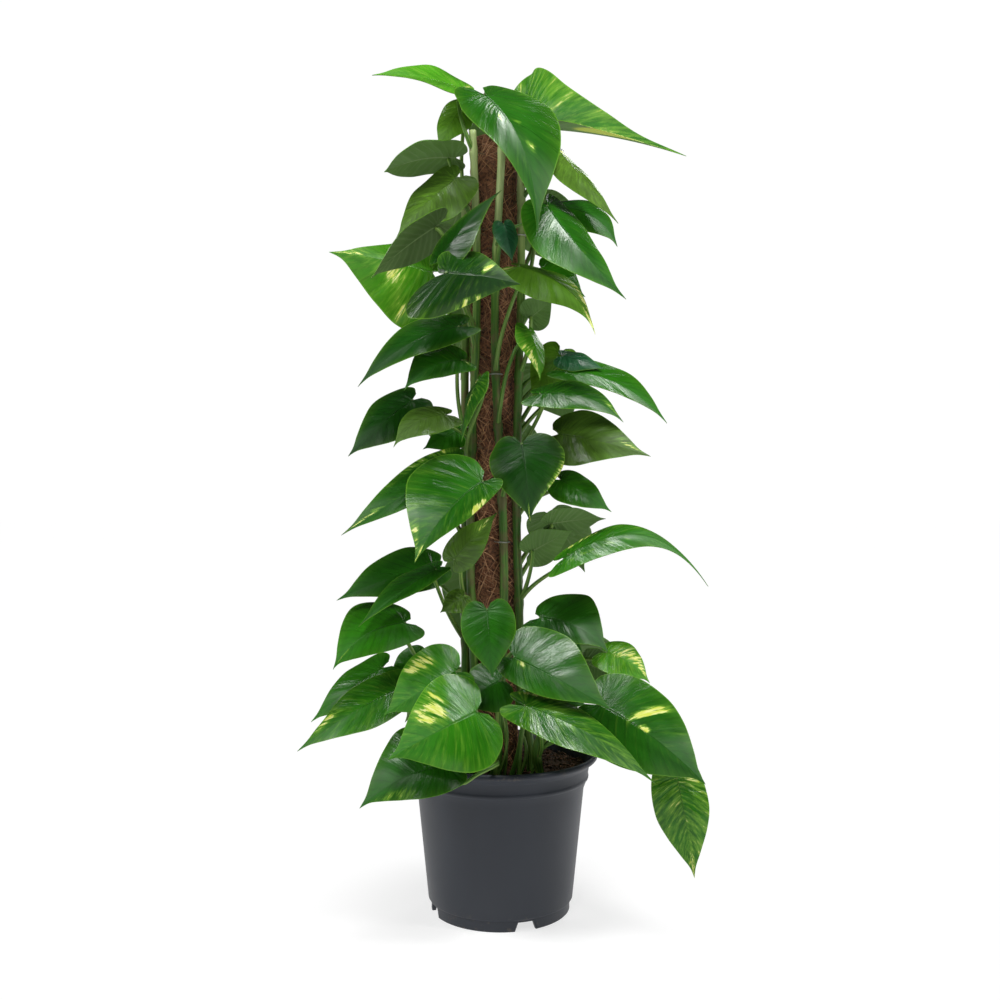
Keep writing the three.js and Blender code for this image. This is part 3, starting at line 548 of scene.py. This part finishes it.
def soil_dark():
    """Peaty compost: crumbs from black to brown."""
    finish = Finish("compost")
    shade = finish.attribute("crumb_shade")
    spot = finish.place()
    grain = finish.noise(spot, 520, 5, 0.7)
    colour = finish.mix(shade * 0.7 + grain * 0.3, (0.006, 0.004, 0.003), (0.13, 0.062, 0.027))
    return finish.done(colour, 0.85 + grain * 0.1, grain, 0.0012)


def pot_plastic():
    """Satin grey-black plastic, faintly streaked, with soil dust at the foot and the lip."""
    finish = Finish("pot_plastic", Specular_IOR_Level=0.42)
    spot = finish.place()
    x, y, z = finish.parts(spot)
    streaks = finish.streaks(x * 70, y * 70, z * 6, 3)
    cloud = finish.noise(spot, 14, 3)
    grain = finish.noise(spot, 2600, 2)
    dirt = finish.noise(spot, 110, 6, 0.7)
    low = 1 - z.step(0.002, 0.02)
    high = z.step(0.1435, 0.149)
    smear = ((dirt - 0.08).step(0.46, 0.62)) * (low * 0.55).top(high * 0.5)
    colour = finish.mix(streaks * 0.5 + cloud * 0.5, (0.0125, 0.0165, 0.0255), (0.018, 0.0235, 0.034))
    colour = finish.mix(smear, colour, (0.13, 0.105, 0.08))
    rough = 0.42 + cloud * 0.12 + smear * 0.25
    relief = grain * 0.5 + streaks * 0.3
    return finish.done(colour, rough, relief, 0.00025, 0.35)


def pin_wire():
    """Drawn steel wire, a little dulled."""
    finish = Finish("pin_wire", Metallic=1)
    grain = finish.noise(finish.place(), 1500, 3)
    colour = finish.mix(grain, (0.42, 0.42, 0.40), (0.62, 0.62, 0.6))
    return finish.done(colour, 0.3 + grain * 0.2)


def floor_white():
    """White studio paper, which glows more further out so that its edge isn't seen."""
    finish = Finish("floor_white", Emission_Strength=1, Specular_IOR_Level=0.2)
    spot = finish.place()
    x, y, _ = finish.parts(spot)
    far = (x * x + y * y) ** 0.5
    faint = finish.noise(spot, 3, 2)
    glow = far.step(0.08, 0.2)
    near = finish.mix(faint, (0.36, 0.36, 0.36), (0.38, 0.38, 0.38))
    return finish.done(finish.mix(glow, near, (0.01, 0.01, 0.01)), 0.8,
                       Emission_Color=finish.mix(glow, (0.7, 0.7, 0.7), (1, 1, 1)))


def backdrop_white():
    """The studio's white surroundings."""
    finish = Finish("backdrop_white", Emission_Strength=1, Specular_IOR_Level=0)
    faint = finish.noise(finish.place(), 0.5, 1)
    return finish.done(finish.mix(faint, (0, 0, 0), (0.02, 0.02, 0.02)), 1,
                       Emission_Color=finish.mix(faint, (1, 1, 1), (1.02, 1.02, 1.02)))


# Helpers for meshes

def mix(a, b, t):
    return a + (b - a) * t


def linked(name, data):
    """A new object in the scene."""
    thing = bpy.data.objects.new(name, data)
    bpy.context.scene.collection.objects.link(thing)
    return thing


def shaped(name, mesh, *materials):
    """A new object in the scene with the mesh's shape."""
    data = bpy.data.meshes.new(name)
    mesh.to_mesh(data)
    mesh.free()
    for material in materials:
        data.materials.append(material)
    return linked(name, data)


def smooth(mesh):
    for face in mesh.faces:
        face.smooth = True


def close(mesh, gap):
    """Joins a bent grid's seam, caps its ends and turns its faces outwards."""
    bmesh.ops.remove_doubles(mesh, verts=mesh.verts, dist=gap)
    rims = [edge for edge in mesh.edges if edge.is_boundary]
    bmesh.ops.holes_fill(mesh, edges=rims, sides=0)
    bmesh.ops.recalc_face_normals(mesh, faces=mesh.faces)


def beside_pole(radius, turn, z):
    """A point at a distance from the pole's axis, with the turn from the front towards the right."""
    return Vector((POLE_X + radius * sin(turn), -radius * cos(turn), z))


def cylinder(mesh, radius, depth, segments):
    """An upright cylinder about the origin."""
    return bmesh.ops.create_cone(mesh, cap_ends=True, segments=segments, radius1=radius, radius2=radius,
                                 depth=depth)["verts"]


class Builder:
    """Gathers small meshes with the layers that the materials read, and joins them in one piece."""

    def __init__(self, materials, numbers=(), colours=()):
        self.materials = materials
        self.numbers = numbers
        self.colours = colours
        self.parts = []

    def begin(self):
        mesh = bmesh.new()
        mesh.loops.layers.uv.new("leaf")
        for name in self.numbers:
            mesh.verts.layers.float.new(name)
        for name in self.colours:
            mesh.verts.layers.float_color.new(name)
        return mesh

    def keep(self, mesh):
        part = bpy.data.meshes.new("part")
        mesh.to_mesh(part)
        mesh.free()
        self.parts.append(part)

    def finish(self, name, slot, *nodes):
        """The piece, in metres, as an object that rides on the body and stands for the CAD nodes."""
        whole = bmesh.new()
        for part in self.parts:
            whole.from_mesh(part)
            bpy.data.meshes.remove(part)
        bmesh.ops.scale(whole, vec=(MM, MM, MM), verts=whole.verts)
        piece = shaped(name, whole, *self.materials)
        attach(piece, BODY)
        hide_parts(*nodes)
        return piece


def unwrap(mesh, where):
    """Writes each vertex's place to the UV map."""
    uv = mesh.loops.layers.uv["leaf"]
    for face in mesh.faces:
        for loop in face.loops:
            loop[uv].uv = where[loop.vert]


def paint(mesh, **values):
    """Writes numbers or colours to the vertices' layers."""
    for name, value in values.items():
        layers = mesh.verts.layers.float_color if isinstance(value, tuple) else mesh.verts.layers.float
        layer = layers[name]
        for vert in mesh.verts:
            vert[layer] = (*value, 1) if isinstance(value, tuple) else value


def spline(points, t):
    """A point of the smooth curve through the points, with t from 0 to 1."""
    last = len(points) - 1
    i = min(int(last * t), last - 1)
    w = last * t - i
    before = points[i - 1] if i else 2 * points[0] - points[1]
    after = points[i + 2] if i + 2 <= last else 2 * points[last] - points[last - 1]
    p = [before, points[i], points[i + 1], after]
    d = [max((p[k + 1] - p[k]).length, 1e-4) ** 0.5 for k in range(3)]
    start = ((p[1] - p[0]) / d[0] - (p[2] - p[0]) / (d[0] + d[1]) + (p[2] - p[1]) / d[1]) * d[1]
    end = ((p[2] - p[1]) / d[1] - (p[3] - p[1]) / (d[1] + d[2]) + (p[3] - p[2]) / d[2]) * d[1]
    return (p[1] * (2 * w ** 3 - 3 * w ** 2 + 1) + start * (w ** 3 - 2 * w ** 2 + w)
            + p[2] * (3 * w ** 2 - 2 * w ** 3) + end * (w ** 3 - w ** 2))


def bezier(a, b, c, d, t):
    u = 1 - t
    return a * u ** 3 + b * (3 * u * u * t) + c * (3 * u * t * t) + d * t ** 3


def tube(build, at, radius_at, sides, steps, index, flat=1, age_and_shade=None, **values):
    """A closed tube along at(t), whose radius changes by radius_at(t)."""
    mesh = build.begin()
    bmesh.ops.create_grid(mesh, x_segments=sides, y_segments=steps, size=0.5)
    points = [at(i / steps) for i in range(steps + 1)]
    side = (points[1] - points[0]).orthogonal().normalized()
    rings = []
    length = 0
    for i, point in enumerate(points):
        ahead = (points[min(i + 1, steps)] - points[max(i - 1, 0)]).normalized()
        side = (side - ahead * side.dot(ahead)).normalized()
        rings.append((point, side, ahead.cross(side), length))
        if i < steps:
            length += (points[i + 1] - point).length
    where = {}
    for vert in mesh.verts:
        turn = vert.co.x + 0.5
        t = vert.co.y + 0.5
        point, right, top, far = rings[round(t * steps)]
        radius = radius_at(t)
        where[vert] = (turn, far * MM)
        angle = 2 * pi * turn
        vert.co = point + right * (radius * cos(angle)) + top * (radius * flat * sin(angle))
        if age_and_shade:
            vert[mesh.verts.layers.float["stem_age_and_shade"]] = age_and_shade(t)
    smooth(mesh)
    unwrap(mesh, where)
    paint(mesh, **values)
    close(mesh, SEAM)
    for face in mesh.faces:
        face.material_index = index
    build.keep(mesh)


# Blades

def blade_normal(spec):
    """The way the glossy side looks, square to the midrib."""
    chord = (spec["tip"] - spec["base"]).normalized()
    return (spec["face"] - chord * spec["face"].dot(chord)).normalized()


def blade_point(spec, place, out, side):
    """A point of the blade's surface: how far along the midrib, how far out, and on which side."""
    get = spec.get
    fuller = get("shoulder", 0) * 4 * max(place, 0) * (1 - place)
    along = place * (1 - get("tail", 0.05) * (1 - abs(place) ** TAIL_POWER)) - fuller
    chord = spec["tip"] - spec["base"]
    length = chord.length
    chord = chord / length
    normal = blade_normal(spec)
    across = chord.cross(normal)
    bow = 4 * along * (1 - along)
    half = spec["width"] / 2 * (1 + side * get("skew", 0))
    turn = radians(get("twist", 0)) * (along - 0.5)
    sideways = across * cos(turn) + normal * sin(turn)
    upward = normal * cos(turn) - across * sin(turn)
    fold = radians(get("fold", -6))
    ripple = sin(2 * pi * WAVES * along + side + length)
    lift = out * sin(fold) - CURL * out * out + WAVE * out * out * ripple
    swept = max(get("sweep", 0) * side, 0) * out * half
    return (spec["base"] + chord * (along * length - swept) + normal * (get("arch", 0.05) * bow * length)
            + across * (get("bend", 0) * bow * length) + sideways * (side * out * cos(fold) * half)
            + upward * (lift * half))


# Along, out and the vein's root, from the lobe to the tip
OUTLINE = [spline([Vector(point) for point in HEART], i / COLUMNS) for i in range(COLUMNS + 1)]


def blade(build, spec, pattern, seed, tone):
    """The blade: a grid drawn along its veins, bent to its form and thickened."""
    mesh = build.begin()
    uv = mesh.loops.layers.uv["leaf"]
    cream_layer = mesh.verts.layers.float["leaf_cream"]
    streaks, *marks = pattern
    bmesh.ops.create_grid(mesh, x_segments=COLUMNS, y_segments=2 * ROWS, size=0.5)
    where = {}
    for vert in mesh.verts:
        t = vert.co.x + 0.5
        across = 2 * vert.co.y
        side = -1 if across < 0 else 1
        s = abs(across) ** ROW_CROWDING
        along, out, root = OUTLINE[round(t * COLUMNS)]
        vert.co = blade_point(spec, mix(root, along, s ** VEIN_SWEEP), out * s, side)
        where[vert] = (t, 0.5 + side * s / 2)
        vert[cream_layer] = streaks
        for mark_t, mark_s, long, wide, strength in marks:
            far = ((t - mark_t) / long) ** 2 + ((side * s - mark_s) / wide) ** 2
            vert[cream_layer] += strength * exp(-far)
    smooth(mesh)
    unwrap(mesh, where)
    paint(mesh, leaf_seed=seed, leaf_tone=tone)
    bmesh.ops.remove_doubles(mesh, verts=mesh.verts, dist=BLADE_SEAM)
    mesh.normal_update()
    facing = sum((face.normal * face.calc_area() for face in mesh.faces), Vector())
    if facing.dot(blade_normal(spec)) < 0:
        bmesh.ops.reverse_faces(mesh, faces=mesh.faces)
        mesh.normal_update()
    for vert in mesh.verts:
        t, v = vert.link_loops[0][uv].uv
        s = abs(2 * v - 1)
        spot = Vector((3.5 * t, 2.2 * v, seed))
        broad = min(1, 2 * OUTLINE[round(t * COLUMNS)][1]) * min(1, 3 * (1 - t))
        vert.co += vert.normal * (PUCKER * s * broad * noise.noise(spot))
        groove = (0.5 + 0.5 * cos(2 * pi * SIDE_VEINS * t)) ** 2 * 4 * s * (1 - s)
        vert.co -= vert.normal * (VEIN_DEPTH * groove * broad * broad)
    mesh.normal_update()
    tops = set(mesh.verts)
    under = bmesh.ops.extrude_face_region(mesh, geom=mesh.faces[:], use_keep_orig=True)["geom"]
    for vert in under:
        if isinstance(vert, bmesh.types.BMVert):
            t, v = vert.link_loops[0][uv].uv
            ridge = MIDRIB_RIDGE * (1 - t) if abs(2 * v - 1) < 1e-4 else 0
            vert.co -= vert.normal * (BLADE_THICKNESS + ridge)
    bmesh.ops.recalc_face_normals(mesh, faces=mesh.faces)
    for face in mesh.faces:
        old = sum(vert in tops for vert in face.verts)
        face.material_index = 1 if old == 0 else 0
        if 0 < old < len(face.verts):
            for edge in face.edges:
                edge.smooth = False
    build.keep(mesh)


# Vines and stalks

def vine_points(vine):
    """The route that is given, or else one that climbs along the pole."""
    if "route" in vine:
        return [Vector(point) for point in vine["route"]]
    steps = round((vine["top"] - VINE_BOTTOM) / VINE_STEP)
    points = []
    for i in range(steps + 1):
        z = mix(VINE_BOTTOM, vine["top"], i / steps)
        spread = min(VINE_SPREAD, VINE_SPREAD * max(0, 1 - (z - SOIL_TOP) / VINE_SPREAD_HEIGHT))
        radius = SLEEVE_RADIUS + VINE_RADIUS + 2 * GAP + spread
        turn = radians(vine["angle"] + VINE_WANDER * sin(z / VINE_WANDER_LENGTH + vine["angle"]))
        points.append(beside_pole(radius, turn, z))
    return points


def at_height(points, height):
    """The point of a route at a height."""
    low, high = 0, 1
    for _ in range(HALVINGS):
        middle = (low + high) / 2
        if spline(points, middle).z < height:
            low = middle
        else:
            high = middle
    return spline(points, low)


def petiole(build, spec, start, outward, seed):
    """The stalk: wider at its foot, with a knee under the blade."""
    end = blade_point(spec, PETIOLE_SINK, 0, 1) - blade_normal(spec) * PETIOLE_DROP
    reach = (end - start).length
    first = start + UP * (spec.get("rise", 0.35) * reach) + outward * (spec.get("out", 0.25) * reach)
    second = end - blade_normal(spec) * (PETIOLE_BEHIND * reach)
    route = [start, *[Vector(point) for point in spec.get("via", [])], end]

    def at(t):
        return spline(route, t) if "via" in spec else bezier(start, first, second, end, t)

    def radius(t):
        knee = exp(-((t - KNEE_PLACE) / KNEE_LENGTH) ** 2)
        narrower = 1 - max(0, t - 0.94) / 0.1
        return (PETIOLE_RADIUS + PETIOLE_FLARE * (1 - t) ** 3 + KNEE_SWELL * knee) * narrower

    tube(build, at, radius, PETIOLE_SIDES, PETIOLE_STEPS, 2, 0.85, lambda t: 0.35 * (1 - t),
         leaf_seed=seed)


def sheath(build, start, outward, seed, draw):
    """The dried sheath that is left beside a stalk's foot."""
    lean = Matrix.Rotation(draw.uniform(-0.7, 0.7), 3, "Z") @ outward
    foot = start + lean * (VINE_RADIUS * 0.8)
    long, far = draw.uniform(*SHEATH_LENGTHS), draw.uniform(1.5, 6)

    def at(t):
        return foot + lean * (far * t * t) + UP * (long * t)

    tube(build, at, lambda t: 0.2 + 1.1 * (1 - t), 8, 8, 3, 0.4, leaf_seed=seed)


def air_roots(build, start, seed, draw):
    """Short roots that come out of a node and grip the coir beside the vine."""
    turn = atan2(start.x - POLE_X, -start.y)
    for way in (-1, 1, 1):
        drop, run = draw.uniform(-7, 5), way * draw.uniform(0.16, 0.42)

        def at(t):
            lift = ROOT_LIFT * (1 - t) ** 2
            return beside_pole(SLEEVE_RADIUS + lift + 0.5, turn + run * t, start.z + drop * t)

        tube(build, at, lambda t: 0.9 - 0.5 * t, 6, 8, 3, leaf_seed=seed)


def bare_stalks(build, count, draw):
    """Leafless stalks that leave the soil close in front of the pole."""
    for i in range(count):
        across = mix(*STALK_SPAN, (i + draw.uniform(0.2, 0.8)) / count)
        foot = Vector((POLE_X + across, draw.uniform(-46, -34), SOIL_TOP - 3))
        tip = foot + Vector((across * 0.4 + draw.uniform(-12, 12), draw.uniform(-2, 8),
                             draw.uniform(*STALK_HEIGHTS)))
        bow = Vector((draw.uniform(-10, 10), draw.uniform(-6, 0), 0))
        thick = draw.uniform(*STALK_RADII)

        def at(t):
            return foot.lerp(tip, t) + bow * (4 * t * (1 - t))

        tube(build, at, lambda t: thick * (1.1 - 0.5 * t), 10, 14, 2, 1, lambda t: 0.3 - 0.6 * t,
             leaf_seed=draw.uniform(0, 90))


def vine_stem(build, vine, points, seed):
    """The stem: swollen at each node, with painted shade that darkens it most at half its height, deep in
    the foliage, and palest at its young top.
    """
    heights = [spec["node"] for spec in vine["leaves"]]
    bottom, top = points[0].z, points[-1].z

    def radius(t):
        z = spline(points, t).z
        swell = sum(exp(-((z - node) / NODE_LENGTH) ** 2) for node in heights)
        return VINE_RADIUS * (1 - VINE_TAPER * t) * (1 + NODE_SWELL * min(swell, 1))

    def age_and_shade(t):
        height = (mix(bottom, top, t) - bottom) / (POLE_TOP - bottom)
        # Painted shade: the sine term darkens the stem most at half its height, where it runs deep in the
        # foliage; the fall past YOUNG_FROM is its pale young top.
        return 0.8 * sin(pi * height) ** 2 - 1.2 * max(0, height - YOUNG_FROM) / YOUNG_LENGTH

    steps = VINE_STEPS if "angle" in vine else VINE_STEPS // 4
    tube(build, lambda t: spline(points, t), radius, VINE_SIDES, steps, 2, 1, age_and_shade, leaf_seed=seed)


def leafy_vine(vine, materials, draw):
    """One vine as one piece: its stem, blades, stalks, sheaths and air roots."""
    build = Builder(materials, ("leaf_cream", "leaf_seed", "stem_age_and_shade"), ("leaf_tone",))
    points = vine_points(vine)
    vine_stem(build, vine, points, draw.uniform(0, 90))
    for spec in vine["leaves"]:
        tone, *pattern = LOOKS.get(spec["name"], PLAIN_LOOK)
        seed = draw.uniform(0, 90)
        start = at_height(points, spec["node"])
        outward = Vector((start.x - POLE_X, start.y, 0)).normalized()
        lighter = draw.uniform(0.88, 1.14)
        blade(build, spec, pattern, seed, tuple(channel * lighter for channel in TONES[tone]))
        petiole(build, spec, start, outward, seed)
        sheath(build, start, outward, seed, draw)
        if "angle" in vine:
            air_roots(build, start, seed, draw)
    if "bare_stalks" in vine:
        bare_stalks(build, vine["bare_stalks"], random.Random(STALK_SEED))
    build.finish(vine["name"] + "_leafy", "foliage", vine["name"])


# Coir pole

SLEEVE_SINK = 1.5
SLEEVE_SEAM = 1e-3
FIBRES = 1700
FIBRE_LENGTHS = (14, 46)
FIBRE_SLOPES = (0.25, 1.4)
FIBRE_BULGES = (0, 1.1)
FIBRE_RADII = (0.2, 0.5)
FIBRE_SINK = 1.2
FIBRE_SEGMENTS = 5
SLEEVE_SIDES = 96
SLEEVE_STEPS = 220


def coir_sleeve(draw):
    """The matted sleeve, roughened, with loose fibres laid criss-cross over it."""
    build = Builder([coir_mat(), coir_fibre()], ("fibre_shade",))
    mesh = build.begin()
    bmesh.ops.create_grid(mesh, x_segments=SLEEVE_SIDES, y_segments=SLEEVE_STEPS, size=0.5)
    for vert in mesh.verts:
        angle = 2 * pi * (vert.co.x + 0.5)
        z = mix(SLEEVE_BOTTOM, POLE_TOP, vert.co.y + 0.5)
        spot = Vector((sin(angle), -cos(angle), z / SLEEVE_RADIUS))
        rough = noise.noise(spot * 9) * 0.8 + noise.noise(spot * 3) * 1.1
        radius = SLEEVE_RADIUS - SLEEVE_SINK + rough
        vert.co = Vector((POLE_X + radius * spot.x, radius * spot.y, z))
    close(mesh, SLEEVE_SEAM)
    smooth(mesh)
    build.keep(mesh)
    for _ in range(FIBRES):
        turn = draw.uniform(0, 2 * pi)
        z = draw.uniform(SOIL_TOP - 4, POLE_TOP - 1)
        length = draw.uniform(*FIBRE_LENGTHS)
        slope = draw.choice((-1, 1)) * draw.uniform(*FIBRE_SLOPES)
        rise, run = length * sin(slope), length * cos(slope) / SLEEVE_RADIUS
        bulge = draw.uniform(*FIBRE_BULGES)
        wiggle = draw.uniform(-0.12, 0.12)
        thick = draw.uniform(*FIBRE_RADII)
        tint = draw.uniform(0, 1)

        def at(t):
            return beside_pole(SLEEVE_RADIUS - FIBRE_SINK + bulge * sin(pi * t),
                               turn + run * (t - 0.5) + wiggle * sin(5 * t),
                               min(max(z + rise * (t - 0.5), SLEEVE_BOTTOM), POLE_TOP))

        tube(build, at, lambda t: thick, 3, FIBRE_SEGMENTS, 1, fibre_shade=tint)
    build.finish("coir_pole_sleeve", "coir", "coir_sleeve")


def stake():
    """The stake's round top above the coir, with its edge eased."""
    build = Builder([stake_wood()])
    mesh = build.begin()
    bottom, top = STAKE_BOTTOM, POLE_TOP + STAKE_PROUD
    cylinder(mesh, STAKE_RADIUS, top - bottom, 40)
    bmesh.ops.translate(mesh, vec=(POLE_X, 0, (bottom + top) / 2), verts=mesh.verts)
    rim = [edge for edge in mesh.edges if all(vert.co.z > POLE_TOP for vert in edge.verts)]
    bmesh.ops.bevel(mesh, geom=rim, offset=STAKE_EASE, segments=3, profile=0.5, affect="EDGES",
                    material=-1)
    build.keep(mesh)
    build.finish("pole_stake_wood", "stake_wood", "pole_stake")


# Pot

POT_SEGMENTS = 160
POT_PROFILE = [
    (0, 11.5), (63.6, 11.5), (63.6, 0.6), (64.2, 0), (67.0, 0), (67.6, 0.6), (67.6, 9.8), (68.2, 10.8),
    (69.8, 11.2), (70.6, 12.4), (81.6, 119), (84.6, 126.8), (85.2, 128), (86.1, 128.6), (86.3, 130),
    (86.0, 131.5), (85.7, 132.4), (87.2, 141), (87.8, 142.4), (93.6, 146.6), (94.8, 148), (95, 149.2),
    (94.5, 151.2), (93.4, 152.3), (92.2, 152.5), (90.6, 151.6), (88.2, 148.5), (85.2, 141), (84.0, 131.5),
    (79.4, 119), (68.4, 14.1), (0, 14.1),
]
NOTCH_COUNT = 4
NOTCH_FIRST_ANGLE = 20.4
NOTCH_WIDTH_BOTTOM = 22
NOTCH_WIDTH_TOP = 15
NOTCH_HEIGHT = 8.5
NOTCH_DEPTH = 12
DRAIN_COUNT = 6
DRAIN_RADIUS = 4.5
DRAIN_RING_RADIUS = 46
DRAIN_MIDDLE = 12.8
DRAIN_DEPTH = 6
FOOT_RADIUS = 67.6


def cut(piece, tool_mesh):
    """Cuts a closed mesh out of the piece."""
    cutter = shaped("cutter", tool_mesh)
    modifier = piece.modifiers.new("cut", "BOOLEAN")
    modifier.operation = "DIFFERENCE"
    modifier.solver = "EXACT"
    modifier.object = cutter
    result = bpy.data.meshes.new_from_object(piece.evaluated_get(bpy.context.evaluated_depsgraph_get()))
    piece.modifiers.clear()
    piece.data = result
    bpy.data.objects.remove(cutter)


def spun(mesh, profile, steps):
    """A closed body of revolution from a profile that starts and ends on the axis."""
    ring = [mesh.verts.new((radius, 0, z)) for radius, z in profile]
    edges = [mesh.edges.new(pair) for pair in zip(ring, ring[1:])]
    bmesh.ops.spin(mesh, geom=ring + edges, axis=(0, 0, 1), cent=(0, 0, 0), dvec=(0, 0, 0),
                   angle=2 * pi, steps=steps, use_merge=True)
    bmesh.ops.remove_doubles(mesh, verts=mesh.verts, dist=SEAM)
    bmesh.ops.recalc_face_normals(mesh, faces=mesh.faces)
    smooth(mesh)


def swing(mesh, verts, turn):
    """Turns vertices about the pot's axis."""
    bmesh.ops.rotate(mesh, cent=(0, 0, 0), matrix=Matrix.Rotation(turn, 3, "Z"), verts=verts)


def pot():
    """The pot, spun from its profile, with foot notches and drainage holes."""
    build = Builder([pot_plastic()])
    mesh = build.begin()
    spun(mesh, POT_PROFILE, POT_SEGMENTS)
    build.keep(mesh)
    piece = build.finish("nursery_pot", "pot_plastic", "pot")
    tool = bmesh.new()
    for i in range(NOTCH_COUNT):
        block = bmesh.ops.create_cube(tool, size=1)["verts"]
        for vert in block:
            wide, z = (NOTCH_WIDTH_BOTTOM, -1) if vert.co.z < 0 else (NOTCH_WIDTH_TOP, NOTCH_HEIGHT)
            vert.co = Vector((vert.co.x * wide, -FOOT_RADIUS + NOTCH_DEPTH * vert.co.y, z))
        swing(tool, block, radians(NOTCH_FIRST_ANGLE + 360 / NOTCH_COUNT * i))
    for i in range(DRAIN_COUNT):
        plugs = cylinder(tool, DRAIN_RADIUS, DRAIN_DEPTH, 24)
        bmesh.ops.translate(tool, vec=(0, -DRAIN_RING_RADIUS, DRAIN_MIDDLE), verts=plugs)
        swing(tool, plugs, 2 * pi * i / DRAIN_COUNT)
    bmesh.ops.scale(tool, vec=(MM, MM, MM), verts=tool.verts)
    cut(piece, tool)


# Soil

SOIL_RADIUS = 83.2
SOIL_PROFILE = [
    (0, 14.6), (66.6, 14.6), (78.4, 118), (82.6, 131), (SOIL_RADIUS, 135),
    *((SOIL_RADIUS * i / 30, SOIL_TOP) for i in range(29, -1, -1)),
]
CRUMBS = 2600
CRUMB_RADII = (0.5, 1.5)
LUMP_RADII = (1.4, 2.6)
CRUMB_SHARE = 0.85
SHREDS = 260
SHRED_HALVES = (2.5, 7)
SHRED_RADII = (0.25, 0.6)


def soil(draw):
    """The compost: a lumpy body strewn with crumbs and bits of bark and fibre."""
    build = Builder([soil_dark()], ("crumb_shade",))
    mesh = build.begin()
    spun(mesh, SOIL_PROFILE, 120)
    paint(mesh, crumb_shade=0.25)
    for vert in mesh.verts:
        if vert.co.z > SOIL_TOP - 0.1:
            vert.co.z += 1.6 * noise.noise(vert.co * 0.09) + 1.1 * noise.noise(vert.co * 0.4)
    build.keep(mesh)

    def strewn(reach, low, high):
        radius = reach * sqrt(draw.random())
        angle = draw.uniform(0, 2 * pi)
        z = SOIL_TOP + draw.uniform(low, high)
        return Vector((radius * cos(angle), radius * sin(angle), z))

    for _ in range(CRUMBS):
        spot = strewn(SOIL_RADIUS, -0.6, 1.4)
        size = draw.uniform(*(CRUMB_RADII if draw.random() < CRUMB_SHARE else LUMP_RADII))
        stretch = (draw.uniform(0.7, 1.6), draw.uniform(0.7, 1.2), draw.uniform(0.4, 0.9))
        turn = Matrix.Rotation(draw.uniform(0, 2 * pi), 3, "Z")
        mesh = build.begin()
        bmesh.ops.create_icosphere(mesh, subdivisions=1, radius=size)
        for vert in mesh.verts:
            rough = [c * s * draw.uniform(0.8, 1.2) for c, s in zip(vert.co, stretch)]
            vert.co = spot + turn @ Vector(rough)
        paint(mesh, crumb_shade=draw.random() ** 2)
        build.keep(mesh)
    for _ in range(SHREDS):
        middle = strewn(SOIL_RADIUS - 8, 0.5, 2)
        way = Vector((draw.uniform(-1, 1), draw.uniform(-1, 1), draw.uniform(-0.15, 0.15))).normalized()
        curl = way.cross(UP) * draw.uniform(-2.5, 2.5)
        half = draw.uniform(*SHRED_HALVES)
        thick = draw.uniform(*SHRED_RADII)

        def at(t):
            return middle + way * (half * (2 * t - 1)) + curl * (4 * t * (1 - t))

        tube(build, at, lambda t: thick, 5, 4, 0, crumb_shade=draw.uniform(0.5, 1.2))
    build.finish("compost", "soil", "soil")


# Studio, in metres

FLOOR_HALF = 8
BACKDROP_RADIUS = 9

# Softboxes: name, place, power in watts and size in metres
LIGHTS = [
    ("left_softbox", (-1.7, -0.8, 1.8), 22, 0.5),
    ("right_softbox", (1.8, -0.7, 1.5), 16, 0.5),
    ("top_softbox", (0.3, -0.6, 2.3), 36, 0.5),
    ("front_softbox", (-0.6, -2.2, 2.1), 9, 0.6),
    ("back_softbox", (0.9, 2.2, 1.6), 9, 0.8),
]
LIGHT_TARGET = Vector((0, 0, 0.4))
SURROUNDINGS = 0.045


def staged(name, mesh, material):
    """An object of the studio."""
    piece = shaped(name, mesh, material)
    return piece


def stage():
    """Floor, white surroundings, soft studio light and the camera."""
    mesh = bmesh.new()
    bmesh.ops.create_grid(mesh, x_segments=8, y_segments=8, size=FLOOR_HALF)
    staged("floor", mesh, floor_white())
    mesh = bmesh.new()
    bmesh.ops.create_uvsphere(mesh, u_segments=48, v_segments=24, radius=BACKDROP_RADIUS)
    bmesh.ops.reverse_faces(mesh, faces=mesh.faces)
    backdrop = staged("backdrop", mesh, backdrop_white())
    for rays in ("diffuse", "glossy", "transmission", "shadow"):
        setattr(backdrop, "visible_" + rays, False)

    world = bpy.data.worlds.new("studio")
    bpy.context.scene.world = world
    world.use_nodes = True
    background = next(n for n in world.node_tree.nodes if n.type == "BACKGROUND")
    background.inputs["Color"].default_value = (1, 1, 1, 1)
    background.inputs["Strength"].default_value = SURROUNDINGS

    for name, spot, power, size in LIGHTS:
        lamp = bpy.data.lights.new(name, "AREA")
        lamp.energy = power
        lamp.size = size
        holder = linked(name, lamp)
        holder.location = spot
        holder.rotation_euler = (LIGHT_TARGET - Vector(spot)).to_track_quat("-Z", "Y").to_euler()

    lens = bpy.data.cameras.new("camera")
    lens.lens = CAMERA_LENS
    lens.sensor_width = CAMERA_SENSOR
    lens.shift_x = SHIFT_RIGHT
    lens.shift_y = SHIFT_UP
    camera = linked("camera", lens)
    camera.location = (0, -CAMERA_BACK, CAMERA_HEIGHT)
    camera.rotation_euler = (radians(90), 0, 0)
    bpy.context.scene.camera = camera
    bpy.context.scene.view_settings.view_transform = "Standard"


stage()
draw = random.Random(DRAW_SEED)
greens = (blade_top(), blade_under(), stem_green(), dry_brown())
for vine in VINES:
    leafy_vine(vine, greens, draw)
coir_sleeve(draw)
stake()
soil(draw)
pot()
wire = pin_wire()
for name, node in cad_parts.items():
    if name.startswith("stem_pin_"):
        node.data.materials.clear()
        node.data.materials.append(wire)
